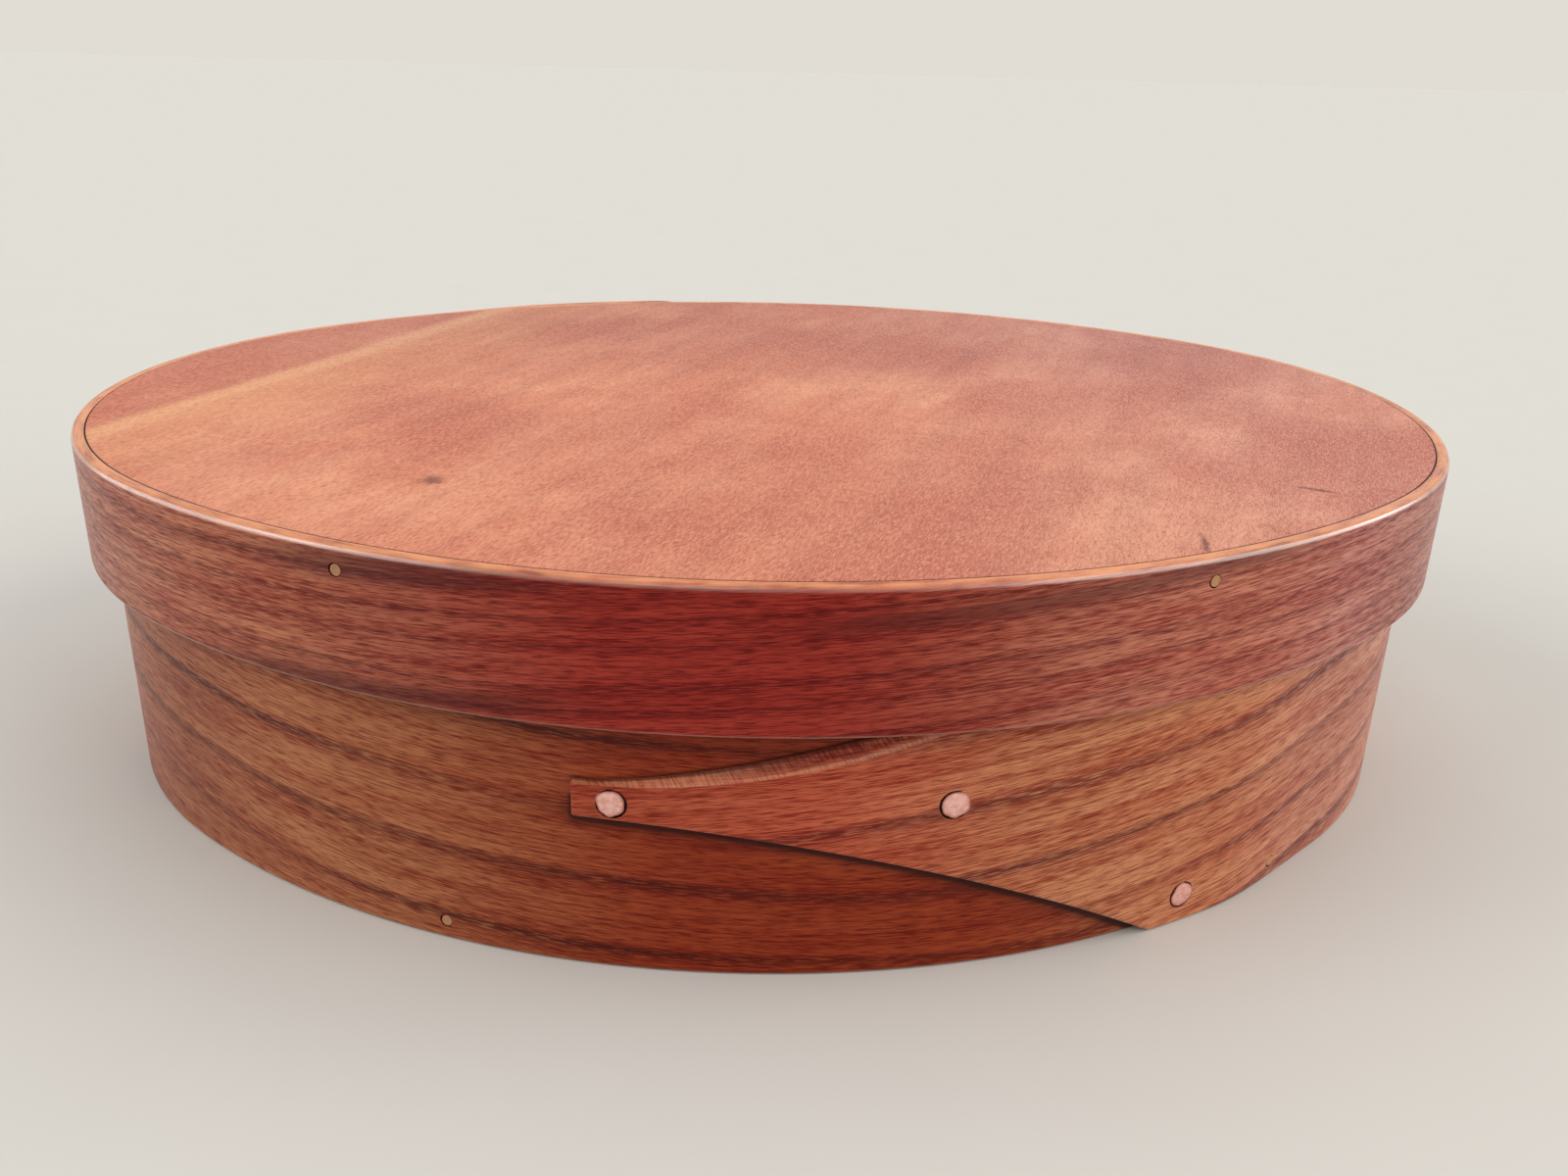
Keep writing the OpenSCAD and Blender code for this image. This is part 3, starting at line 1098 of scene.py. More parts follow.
def soft_min(first: np.ndarray, second: float, width: float) -> np.ndarray:
    """Takes the smaller of two values, rounded off where they differ by less than a width."""
    near = np.maximum(width - np.abs(first - second), 0.0) / width
    return np.minimum(first, second) - near * near * width / 4


def new_object(name: str, mesh: bpy.types.Mesh) -> bpy.types.Object:
    """Makes an object at the origin and links it to the scene.

    Args:
        name: The object's name.
        mesh: Its mesh.

    Returns:
        The object.
    """
    made = bpy.data.objects.new(name, mesh)
    bpy.context.scene.collection.objects.link(made)
    return made


def settle(obj: bpy.types.Object, crease: float = 38.0) -> None:
    """Turns an object's modifiers into a plain mesh, shaded smooth up to an angle.

    Args:
        obj: The object.
        crease: Angle over which an edge is sharp, in degrees.
    """
    graph = bpy.context.evaluated_depsgraph_get()
    mesh = bpy.data.meshes.new_from_object(
        obj.evaluated_get(graph), preserve_all_data_layers=True, depsgraph=graph
    )
    obj.modifiers.clear()
    old = obj.data
    obj.data = mesh
    mesh.name = obj.name
    bpy.data.meshes.remove(old)
    mesh.shade_smooth()
    mesh.set_sharp_from_angle(angle=math.radians(crease))


def grow(obj: bpy.types.Object, tree: NodeGroup, inputs: Mapping[str, Value], crease: float = 38.0) -> None:
    """Runs a geometry tree on an object.

    Args:
        obj: The object.
        tree: The tree.
        inputs: The tree's inputs, by name.
        crease: Angle over which an edge is sharp, in degrees.
    """
    modifier = obj.modifiers.new(obj.name, "NODES")
    modifier.node_group = tree.tree
    for label, value in inputs.items():
        modifier[tree.identifiers[label]] = value
    settle(obj, crease)


@dataclass(frozen=True)
class Corner:
    """How a corner of a strip's section is eased.

    Attributes:
        face: How far the easing reaches along the strip's face.
        edge: How far it reaches along the strip's edge.
        roundness: 0 for a flat bevel and 1 for a round arris.
    """

    face: float
    edge: float
    roundness: float = 1.0


@dataclass(frozen=True)
class Finger:
    """Outer end of a strip, cut to a finger that lies over the strip's start.

    Attributes:
        tip_reach: Distance of the square-cut tip from the middle of the side.
        tip_height: Height of the tip.
        curve_radius: Radius of the two curves along which the finger widens.
        lap_end: Heading at which the lap has run out, in radians.
        wide_bevel: Width of the upper edge's bevel away from the tip.
        bevel_run: Length in which it widens.
        lower_bevel: Width of the lower edge's bevel.
        narrow_bevel: Width of the upper edge's bevel at the tip.
        bevel_start: Distance from the tip at which that bevel starts to widen.
        tip_bevel: Length of the bevel at the tip.
    """

    tip_reach: float
    tip_height: float
    curve_radius: float
    lap_end: float
    wide_bevel: float
    bevel_run: float
    lower_bevel: float
    narrow_bevel: float = 0.15 * MM
    bevel_start: float = 4 * MM
    tip_bevel: float = 0.35 * MM


@dataclass
class Rows:
    """Rows of points along a strip, put down one after the other round its section.

    Attributes:
        heights: Heights of each row.
        depths: Outward distances of each row.
        edges: How far each row is round an arris, from 0 to 1.
    """

    CORNER_STEPS = 5
    GUARD = 0.5 * MM
    GUARD_SHARE = 0.4

    heights: list[np.ndarray] = field(default_factory=list)
    depths: list[np.ndarray] = field(default_factory=list)
    edges: list[float] = field(default_factory=list)

    def put(self, height: np.ndarray, depth: np.ndarray, edge: float = 0.0) -> None:
        """Adds a row.

        Args:
            height: Heights along the row.
            depth: Outward distances along it.
            edge: How far it is round an arris.
        """
        self.heights.append(height)
        self.depths.append(depth)
        self.edges.append(edge)

    def corner(self, height: np.ndarray, depth: np.ndarray, up: int, out: int, arris: Arris) -> None:
        """Adds the rows of an eased corner.

        Args:
            height: Height of the sharp corner.
            depth: Its outward distance.
            up: 1 for an upper corner and -1 for a lower one.
            out: 1 for an outer corner and -1 for an inner one.
            arris: How far the easing reaches along the face and the edge, and its roundness.
        """
        face, edge, roundness = arris
        steps = np.linspace(0.0, 1.0, self.CORNER_STEPS + 1)
        for share in steps if up == out else steps[::-1]:
            turn = share * math.pi / 2
            down = face * ((1 - roundness) * (1 - share) + roundness * (1 - math.sin(turn)))
            back = edge * ((1 - roundness) * share + roundness * (1 - math.cos(turn)))
            self.put(height - up * down, depth - out * back, share * share * (3 - 2 * share))

    def face(self, start: np.ndarray, end: np.ndarray, depth: np.ndarray, count: int) -> None:
        """Adds the rows of a flat face, with a guard row near each side.

        Args:
            start: Height at which the face starts.
            end: Height at which it ends.
            depth: Its outward distance.
            count: How many rows there are.
        """
        span = end - start
        guard = np.minimum(self.GUARD, self.GUARD_SHARE * np.abs(span) / (count - 1)) * np.sign(span)
        self.put(start + guard, depth)
        for share in np.linspace(0.0, 1.0, count)[1:-1]:
            self.put(start + span * share, depth)
        self.put(end - guard, depth)


@dataclass
class BentBand:
    """One strip of wood, bent round an oval and lapped.

    Attributes:
        name: The piece's name.
        oval: Outline of the strip's outer face on its main turn.
        thickness: The strip's thickness.
        low: Height of its lower edge.
        height: The strip's height.
        finger: Its outer end.
        upper_out: Arris of the upper edge, outside.
        upper_in: Arris of the upper edge, inside.
        lower_out: Arris of the lower edge, outside.
        lower_in: Arris of the lower edge, inside.
        at_back: Whether the lap is at the back.
        forward: Distance of the oval's middle in front of the origin.
    """

    UV_MAP = "strip"
    EDGE = "edge"
    CUT = "cut"
    HOLE = -200 * MM
    SEAM = 0.02 * MM
    FEATHER = 0.06 * MM
    LAP_BLEND = 1.2 * MM
    STEP = 1.2 * MM
    TIP_ZONE = 3.0 * MM
    TIP_STATIONS = 13
    FACE_ROWS = 26
    INNER_ROWS = 12
    BEVEL_DEPTH = 0.8
    BEVEL_EASE = 1.3
    BEVEL_ROUNDNESS = 0.2
    PLAIN_FROM = 0.85
    NEARLY = 1e-9
    LOWER_ROUNDNESS = 0.6
    ARRIS_LIMIT = 0.4
    INNER_LIMIT = 0.35
    FINGER_LIMIT = 0.15

    name: str
    oval: Oval
    thickness: float
    low: float
    height: float
    finger: Finger
    upper_out: Corner
    upper_in: Corner
    lower_out: Corner
    lower_in: Corner
    at_back: bool = False
    forward: float = 0.0

    @property
    def tip(self) -> float:
        """Place of the finger's tip along the strip."""
        radius = self.oval.side_radius
        return -radius * math.asin(self.finger.tip_reach / (radius + self.thickness))

    @property
    def lap_stop(self) -> float:
        """Place along the strip where the lap has run out."""
        return self.oval.side_radius * self.finger.lap_end

    @property
    def shoulder(self) -> float:
        """Place along the strip where the finger reaches the strip's full height.

        Returns:
            The place.
        """
        finger, radius = self.finger, self.oval.side_radius
        drop = finger.curve_radius + finger.tip_height / 2 - self.height / 2
        run = math.sqrt(finger.curve_radius**2 - drop**2)
        return radius * math.asin((run - finger.tip_reach) / (radius + self.thickness))

    def lap_rise(self, along: np.ndarray) -> np.ndarray:
        """Finds how far the outer layer stands off the main turn's face.

        Args:
            along: Places along the strip, from its tip.

        Returns:
            The rise: the strip's thickness on the lap, falling to zero where the lap runs out.
        """
        radius = self.oval.side_radius
        heading = np.minimum(along / radius, self.finger.lap_end)
        straight = radius / np.cos(self.finger.lap_end - heading) - radius
        rise = soft_min(straight, self.thickness, self.LAP_BLEND)
        return np.where(along < self.lap_stop, np.maximum(rise, 0.0), 0.0)

    def faces_at(self, along: np.ndarray) -> tuple[np.ndarray, np.ndarray]:
        """Finds the strip's two faces, as distances outside the main turn's outer face.

        Args:
            along: Places along the strip, from the tip to the feathered end inside.

        Returns:
            The outer and the inner distances.
        """
        turn, bevel = self.oval.perimeter, self.finger.tip_bevel
        rise = self.lap_rise(along)
        covered = along > turn + self.tip
        outer = np.where(covered, self.lap_rise(along - turn) - self.thickness, rise)
        outer = np.where(covered & (along < turn + self.shoulder), np.minimum(outer, 0.0), outer)
        inner = rise - self.thickness + np.where(along < self.lap_stop, self.SEAM, 0.0)
        inner = np.where(covered, -self.thickness, inner)
        dip = self.BEVEL_DEPTH * bevel * (1 - ease(along - self.tip, 0.0, bevel * self.BEVEL_EASE))
        return np.maximum(outer - dip, inner + self.FEATHER), inner

    def half_height(self, along: np.ndarray) -> np.ndarray:
        """Finds half the strip's height, which is less on the finger.

        Args:
            along: Places along the strip.

        Returns:
            The half heights.
        """
        finger, radius = self.finger, self.oval.side_radius
        run = (radius + self.thickness) * np.sin(np.minimum(along / radius, 1.0)) + finger.tip_reach
        run = np.clip(run, 0.0, finger.curve_radius)
        widened = finger.tip_height / 2 + finger.curve_radius - np.sqrt(finger.curve_radius**2 - run**2)
        return np.where(along < self.shoulder, np.minimum(widened, self.height / 2), self.height / 2)

    def bevel(self, along: np.ndarray) -> np.ndarray:
        """Finds how far the foot of the finger's upper bevel stands above the finger's outline.

        Args:
            along: Places along the strip.

        Returns:
            The distances.
        """
        finger = self.finger
        share = np.clip((along - self.tip - finger.bevel_start) / finger.bevel_run, 0.0, 1.0)
        return finger.narrow_bevel + (finger.wide_bevel - finger.narrow_bevel) * np.sin(share * math.pi / 2)

    def stations(self) -> np.ndarray:
        """Lists the places along the strip at which it has a section.

        Returns:
            The places, in order.
        """
        end = self.oval.perimeter + self.lap_stop
        fine = self.tip + np.linspace(0.0, self.TIP_ZONE, self.TIP_STATIONS)
        even = np.linspace(fine[-1], end, int((end - fine[-1]) / self.STEP))
        return np.unique(np.concatenate([fine, even, [self.shoulder, self.lap_stop]]))

    def section(self, along: np.ndarray) -> tuple[np.ndarray, np.ndarray, np.ndarray, np.ndarray]:
        """Works out the strip's section at each station.

        Args:
            along: The stations.

        Returns:
            Heights, outward distances and masks of the edges and of the cut bevel, a row for each station.
        """
        outer, inner = self.faces_at(along)
        wall = outer - inner
        half = self.half_height(along)
        middle = self.low + self.height / 2
        brim = self.low + self.height
        bottom = middle - half
        on_finger = along < self.shoulder - self.NEARLY
        top = np.where(on_finger, np.minimum(middle + half + self.bevel(along), brim), brim)
        face_top = np.minimum(middle + half, brim - self.upper_out.face)
        reach = self.shoulder - self.tip
        plain = ease(along - self.tip, self.PLAIN_FROM * reach, reach)
        limit = self.ARRIS_LIMIT * wall
        depth = self.BEVEL_DEPTH * wall * (1 - plain) + np.minimum(self.upper_out.edge, limit) * plain
        bend = self.BEVEL_ROUNDNESS + (self.upper_out.roundness - self.BEVEL_ROUNDNESS) * plain
        small = self.finger.lower_bevel
        lower_face = np.where(on_finger, small, self.lower_out.face)
        lower_edge = np.minimum(np.where(on_finger, small, self.lower_out.edge), limit)
        lower_bend = np.where(on_finger, self.LOWER_ROUNDNESS, self.lower_out.roundness)
        thin = np.where(on_finger, self.FINGER_LIMIT, self.INNER_LIMIT) * wall
        upper_in, lower_in = [
            (np.full_like(wall, c.face), np.minimum(c.edge, thin), np.full_like(wall, c.roundness))
            for c in (self.upper_in, self.lower_in)
        ]
        rows = Rows()
        rows.corner(bottom, outer, -1, 1, (lower_face, lower_edge, lower_bend))
        rows.face(bottom + lower_face, face_top, outer, self.FACE_ROWS)
        before = len(rows.edges)
        rows.corner(top, outer, 1, 1, (top - face_top, depth, bend))
        after = len(rows.edges)
        rows.corner(top, inner, 1, -1, upper_in)
        rows.face(top - upper_in[0], bottom + lower_in[0], inner, self.INNER_ROWS)
        rows.corner(bottom, inner, -1, -1, lower_in)
        edges = np.tile(np.array(rows.edges), (len(along), 1))
        cuts = np.zeros_like(edges)
        cuts[on_finger, before:after] = edges[on_finger, before:after]
        return np.stack(rows.heights, 1), np.stack(rows.depths, 1), edges, cuts

    def mesh(self) -> bpy.types.Mesh:
        """Builds the strip's mesh, with a map of length and girth and masks of its arrises and bevel.

        Returns:
            The mesh.
        """
        along = self.stations()
        heights, depths, edges, cuts = self.section(along)
        count, ring = heights.shape
        points, outward = self.oval.wall(along)
        plan = points[:, None, :] + depths[..., None] * outward[:, None, :]
        if self.at_back:
            plan = -plan
        places = np.concatenate([plan, heights[..., None]], -1)
        places[..., 1] -= self.forward

        station, point = np.meshgrid(np.arange(count - 1), np.arange(ring), indexing="ij")
        stations = np.stack([station, station + 1, station + 1, station], -1)
        after = np.stack([point, point, point + 1, point + 1], -1)
        faces = (stations * ring + after % ring).reshape(-1, 4).tolist()
        faces.append(list(range(ring)))
        faces.append(list(range(count * ring - 1, (count - 1) * ring - 1, -1)))
        mesh = bpy.data.meshes.new(self.name)
        mesh.from_pydata(places.reshape(-1, 3).tolist(), [], faces)

        round_heights = np.concatenate([heights, heights[:, :1]], 1)
        round_depths = np.concatenate([depths, depths[:, :1]], 1)
        steps = np.hypot(np.diff(round_heights, axis=1), np.diff(round_depths, axis=1))
        girth = np.concatenate([np.zeros((count, 1)), np.cumsum(steps, 1)], 1)
        first_row = Rows.CORNER_STEPS + 1
        girth += (heights[:, first_row] - girth[:, first_row])[:, None]
        first = np.stack([np.full(ring, along[0]), girth[0, :ring]], 1)
        last = np.stack([np.full(ring, along[-1]), girth[-1, :ring]], 1)[::-1]
        sides = np.stack([along[stations].ravel(), girth[stations, after].ravel()], 1)
        strip = np.concatenate([sides, first, last])
        layer = mesh.uv_layers.new(name=self.UV_MAP)
        layer.uv.foreach_set("vector", strip.astype(np.float32).ravel())
        for name, values in ((self.EDGE, edges), (self.CUT, cuts)):
            mask = mesh.attributes.new(name, "FLOAT", "POINT")
            mask.data.foreach_set("value", values.astype(np.float32).ravel())
        mesh.validate()
        return mesh

    def spot(self, along: float, height: float) -> Matrix:
        """Finds a spot on the outer face, as a frame with X along the strip and Z outwards.

        Args:
            along: Place along the strip.
            height: Height of the spot.

        Returns:
            The frame.
        """
        place = np.array([along])
        wrapped = (place - self.tip) % self.oval.perimeter + self.tip
        rise = self.faces_at(wrapped)[0][0]
        points, outward = self.oval.wall(place)
        sign = -1.0 if self.at_back else 1.0
        normal = Vector((*(sign * outward[0]), 0.0))
        x, y = sign * (points[0] + rise * outward[0])
        up = Vector((0.0, 0.0, 1.0))
        made = Matrix((up.cross(normal), up, normal)).transposed().to_4x4()
        made.translation = Vector((x, y - self.forward, height))
        return made


@dataclass(frozen=True)
class Fixing:
    """A tack or a peg in a band.

    Attributes:
        node: The CAD node that it stands for.
        along: Its place along the band.
        height: Its height.
        depth: How deep it goes into the wood.
        lean: Shift of its hole along the band, which leaves a gap at one side.
        clinched: Whether its tip is bent over inside.
    """

    node: str
    along: float
    height: float
    depth: float
    lean: float
    clinched: bool = False


class Fastenings:
    """Tacks and pegs: their trees and their meshes."""

    RIM = "rim"
    FACING = "facing"
    OUTWARD = "outward"
    CENTRE = "centre"
    DEPTH = "depth"
    CLINCH = "clinch"
    HEAD = {"Vertices": 40, "Side Segments": 3, "Fill Segments": 7}
    SHANK = {"Vertices": 20}
    UPPER_SHARE = 0.2
    ROUNDED = (0.55, 1.02)
    TIP_SEGMENTS = 4
    TIP_TAPER = 0.45
    HEAD_FOOT = -1.05
    PIT_LEVEL = 0.62
    PIT_SEED = 7.0
    SIZES = (
        "Head Radius", "Head Thickness", "Head Stand", "Rounding", "Shank Radius", "Tip Length", "Unevenness",
        "Dents", "Lump Size", "Seed",
    )

    def __init__(self) -> None:
        """Builds the trees."""
        self.tack_tree = self._tree("driven_tacks", True)
        self.peg_tree = self._tree("driven_pegs", False)

    def _named(self, made: NodeGroup, name: str, kind: str) -> Field:
        """Reads an attribute of the points."""
        return made.out("GeometryNodeInputNamedAttribute", {"Name": name}, data_type=kind)

    def _tree(self, name: str, clinch: bool) -> NodeGroup:
        """Builds a tree that puts a head and a shank on each point, with an uneven, hammered outline.

        Args:
            name: The tree's name.
            clinch: Whether shanks can end in a tip that is bent over.

        Returns:
            The tree.
        """
        shape = {"Geometry": SocketKind.GEOMETRY}
        sizes = dict.fromkeys(self.SIZES, SocketKind.VALUE)
        inputs = {**shape, **sizes, "Material": SocketKind.MATERIAL}
        made = NodeGroup(name, TreeKind.GEOMETRY, inputs, shape)
        geometry, radius, thickness, stand, rounding, shank_radius, *others = made.entry.values()
        tip_length, unevenness, dents, lump_size, seed, material = others
        here = made.out("GeometryNodeInputPosition")
        x, y, z = made.parts(here)
        share = (x * x + y * y).root() / radius

        feeds = {**self.HEAD, "Radius": radius, "Depth": thickness}
        disc = made.out("GeometryNodeMeshCylinder", feeds, "Mesh")
        lift = made.join(0.0, 0.0, stand - thickness * 0.5)
        disc = made.out("GeometryNodeTransform", {"Geometry": disc, "Translation": lift})
        upper = z.over(stand - thickness * self.UPPER_SHARE)
        drop = made.smooth(share, *self.ROUNDED) * rounding * upper * -1.0
        disc = made.out("GeometryNodeSetPosition", {"Geometry": disc, "Offset": made.join(0.0, 0.0, drop)})
        store, at_point = "GeometryNodeStoreNamedAttribute", {"domain": "POINT"}
        feeds = {"Geometry": disc, "Name": self.RIM, "Value": share}
        disc = made.out(store, feeds, data_type="FLOAT", **at_point)
        feeds = {"Geometry": geometry, "Name": self.CENTRE, "Value": here}
        points = made.out(store, feeds, data_type="FLOAT_VECTOR", **at_point)
        facing = self._named(made, self.FACING, "FLOAT_VECTOR")
        turned = made.out("FunctionNodeEulerToRotation", {0: facing})
        spread = {"Points": points, "Rotation": turned}
        heads = made.out("GeometryNodeInstanceOnPoints", {**spread, "Instance": disc})

        feeds = {**self.SHANK, "Radius": shank_radius, "Depth": 1.0}
        shank = made.out("GeometryNodeMeshCylinder", feeds, "Mesh")
        shank = made.out("GeometryNodeTransform", {"Geometry": shank, "Translation": (0.0, 0.0, -0.5)})
        depth = self._named(made, self.DEPTH, "FLOAT")
        feeds = {**spread, "Instance": shank, "Scale": made.join(1.0, 1.0, depth)}
        pieces = [heads, made.out("GeometryNodeInstanceOnPoints", feeds)]
        if clinch:
            feeds = {
                **self.SHANK,
                "Side Segments": self.TIP_SEGMENTS,
                "Radius Top": shank_radius * self.TIP_TAPER,
                "Radius Bottom": shank_radius,
                "Depth": tip_length,
            }
            tip = made.out("GeometryNodeMeshCone", feeds, "Mesh")
            tip = made.out("GeometryNodeTransform", {"Geometry": tip, "Rotation": (0.0, math.pi / 2, 0.0)})
            bent = self._named(made, self.CLINCH, "FLOAT").over(0.5)
            tips = made.out("GeometryNodeInstanceOnPoints", {**spread, "Selection": bent, "Instance": tip})
            feeds = {"Instances": tips, "Translation": made.join(0.0, 0.0, shank_radius - depth)}
            pieces.append(made.out("GeometryNodeTranslateInstances", feeds))
        joined = made.node("GeometryNodeJoinGeometry")
        for piece in pieces:
            made.feed(joined.inputs[0], piece)
        solid = made.out("GeometryNodeRealizeInstances", {0: Field(made, joined.outputs[0])})

        outward = self._named(made, self.OUTWARD, "FLOAT_VECTOR")
        apart = here - self._named(made, self.CENTRE, "FLOAT_VECTOR")
        level = made.out("ShaderNodeVectorMath", {0: apart, 1: outward}, "Value", operation="DOT_PRODUCT")
        radial = apart - outward * level
        lumps = here / lump_size
        swell = (made.noise(lumps, seed, 1.0) - 0.5) * unevenness * level.over(thickness * self.HEAD_FOOT)
        pitted = (made.noise(lumps, seed + self.PIT_SEED) - self.PIT_LEVEL) * dents * level.over(0.0)
        feeds = {"Geometry": solid, "Offset": radial * swell + outward * pitted}
        solid = made.out("GeometryNodeSetPosition", feeds)
        made.result(Geometry=made.out("GeometryNodeSetMaterial", {"Geometry": solid, "Material": material}))
        return made

    def points(self, name: str, band: BentBand, fixings: Sequence[Fixing]) -> bpy.types.Object:
        """Makes an object with one point for each fixing.

        Args:
            name: The object's name.
            band: The band that the fixings are in.
            fixings: The fixings.

        Returns:
            The object.
        """
        spots = [band.spot(f.along, f.height) for f in fixings]
        mesh = bpy.data.meshes.new(name)
        mesh.from_pydata([tuple(s.translation) for s in spots], [], [])
        for label, kind, part, rows in (
            (self.FACING, "FLOAT_VECTOR", "vector", [tuple(s.to_euler()) for s in spots]),
            (self.OUTWARD, "FLOAT_VECTOR", "vector", [tuple(s.col[2][:3]) for s in spots]),
            (self.DEPTH, "FLOAT", "value", [f.depth for f in fixings]),
            (self.CLINCH, "FLOAT", "value", [float(f.clinched) for f in fixings]),
        ):
            made = mesh.attributes.new(label, kind, "POINT")
            made.data.foreach_set(part, np.array(rows, np.float32).ravel())
        return new_object(name, mesh)


class Drill:
    """Cutter of stepped holes."""

    SIDES = 40
    ABOVE = 2.0 * MM
    PAST = 0.5 * MM

    def __init__(
        self, band: BentBand, fixings: Sequence[Fixing], profile: Sequence[tuple[float, float]]
    ) -> None:
        """Builds the cutter, which paints the walls of its holes as holes.

        Args:
            band: The band that the fixings are in.
            fixings: The fixings.
            profile: Radii of the hole and the levels at which they start, from outside inwards.
        """
        cutter = bmesh.new()
        for fixing in fixings:
            levels = [(profile[0][0], self.ABOVE)]
            for (outer, _), (inner, level) in zip(profile, profile[1:]):
                levels += [(outer, level), (inner, level)]
            levels.append((profile[-1][0], -fixing.depth - self.PAST))
            at = band.spot(fixing.along, fixing.height) @ Matrix.Translation((fixing.lean, 0.0, 0.0))
            self._bore(cutter, at, levels)
        mesh = bpy.data.meshes.new("drill")
        cutter.to_mesh(mesh)
        cutter.free()
        # The walls take a far-off place on the strip map, where the band's finish paints painted shade.
        layer = mesh.uv_layers.new(name=BentBand.UV_MAP)
        layer.uv.foreach_set("vector", np.tile(np.array([0.0, BentBand.HOLE], np.float32), len(mesh.loops)))
        self.tool = new_object("drill", mesh)

    def _bore(self, cutter: bmesh.types.BMesh, at: Matrix, levels: Sequence[tuple[float, float]]) -> None:
        """Adds one hole's closed cutter.

        Args:
            cutter: The mesh that it goes into.
            at: Frame of the hole, with Z outwards.
            levels: Radii and levels of its rings, from outside inwards.
        """
        angles = np.arange(self.SIDES) * 2 * math.pi / self.SIDES
        rings = [
            [cutter.verts.new(at @ Vector((r * math.cos(a), r * math.sin(a), level))) for a in angles]
            for r, level in levels
        ]
        cutter.faces.new(rings[0])
        cutter.faces.new(rings[-1][::-1])
        for upper, lower in zip(rings, rings[1:]):
            for i in range(self.SIDES):
                j = (i + 1) % self.SIDES
                cutter.faces.new((upper[i], lower[i], lower[j], upper[j]))

    def cut(self, *pieces: bpy.types.Object) -> None:
        """Cuts the holes into pieces, and takes the cutter away.

        Args:
            *pieces: The pieces.
        """
        for piece in pieces:
            cut = piece.modifiers.new("holes", "BOOLEAN")
            cut.operation = "DIFFERENCE"
            cut.solver = "MANIFOLD"
            cut.object = self.tool
            settle(piece)
        bpy.data.objects.remove(self.tool)


class Boards:
    """Oval boards, made by one tree."""

    OUTLINE_POINTS = 360
    MERGE = 0.001 * MM
    CREASE = 20.0
    JOINT = "joint"

    def __init__(self) -> None:
        """Builds the tree: a filled outline, pushed up in three steps, the outer two narrowing."""
        shape = {"Geometry": SocketKind.GEOMETRY}
        sizes = dict.fromkeys(("Low", "Thickness", "Arris", "Inset"), SocketKind.VALUE)
        inputs = {**shape, **sizes, "Material": SocketKind.MATERIAL}
        made = NodeGroup("oval_board", TreeKind.GEOMETRY, inputs, shape)
        geometry, low, thickness, arris, inset, material = made.entry.values()
        curve = made.out("GeometryNodeMeshToCurve", {0: geometry})
        sheet = made.out("GeometryNodeFillCurve", {0: curve}, mode="NGONS")
        narrow = 1.0 - inset
        feeds = {"Translation": made.join(0.0, 0.0, low), "Scale": made.join(narrow, narrow, 1.0)}
        under = made.out("GeometryNodeTransform", {"Geometry": sheet, **feeds})
        widen = made.compute("DIVIDE", 1.0, narrow)
        solid, chosen = under, {}
        for rise, scale in ((arris, widen), (thickness - arris * 2.0, 1.0), (arris, narrow)):
            feeds = {"Mesh": solid, "Offset": made.join(0.0, 0.0, rise), "Offset Scale": 1.0, **chosen}
            grown = made.node("GeometryNodeExtrudeMesh", {**feeds, "Individual": False}, mode="FACES")
            chosen = {"Selection": Field(made, grown.outputs["Top"])}
            feeds = {"Geometry": Field(made, grown.outputs["Mesh"]), "Scale": scale, **chosen}
            solid = made.out("GeometryNodeScaleElements", feeds, domain="FACE")
        joined = made.node("GeometryNodeJoinGeometry")
        made.feed(joined.inputs[0], made.out("GeometryNodeFlipFaces", {"Mesh": under}))
        made.feed(joined.inputs[0], solid)
        feeds = {0: Field(made, joined.outputs[0]), "Distance": self.MERGE}
        merged = made.out("GeometryNodeMergeByDistance", feeds)
        solid = made.out("GeometryNodeRealizeInstances", {0: merged})
        level = made.parts(made.out("GeometryNodeInputPosition"))[2] - low
        depth = level.at_most(thickness - level) / arris
        feeds = {"Geometry": solid, "Name": self.JOINT, "Value": depth}
        solid = made.out("GeometryNodeStoreNamedAttribute", feeds, data_type="FLOAT", domain="POINT")
        made.result(Geometry=made.out("GeometryNodeSetMaterial", {"Geometry": solid, "Material": material}))
        self.tree = made

    def build(
        self,
        name: str,
        oval: Oval,
        span: tuple[float, float],
        arris: float,
        forward: float,
        wood: bpy.types.Material,
    ) -> bpy.types.Object:
        """Makes one board.

        Args:
            name: The piece's name.
            oval: Its outline.
            span: Height of its lower face, and its thickness.
            arris: Size of the bevel round both its faces.
            forward: Distance of its middle in front of the origin.
            wood: Its finish.

        Returns:
            The board, as a plain mesh.
        """
        count = self.OUTLINE_POINTS
        corners = [(x, y, 0.0) for x, y in oval.outline(count).tolist()]
        mesh = bpy.data.meshes.new(name)
        mesh.from_pydata(corners, [(i, (i + 1) % count) for i in range(count)], [])
        made = new_object(name, mesh)
        inset = arris / oval.half_length
        inputs = {"Low": span[0], "Thickness": span[1], "Arris": arris, "Inset": inset, "Material": wood}
        grow(made, self.tree, inputs, self.CREASE)
        made.data.transform(Matrix.Translation((0.0, -forward, 0.0)))
        return made


# The box


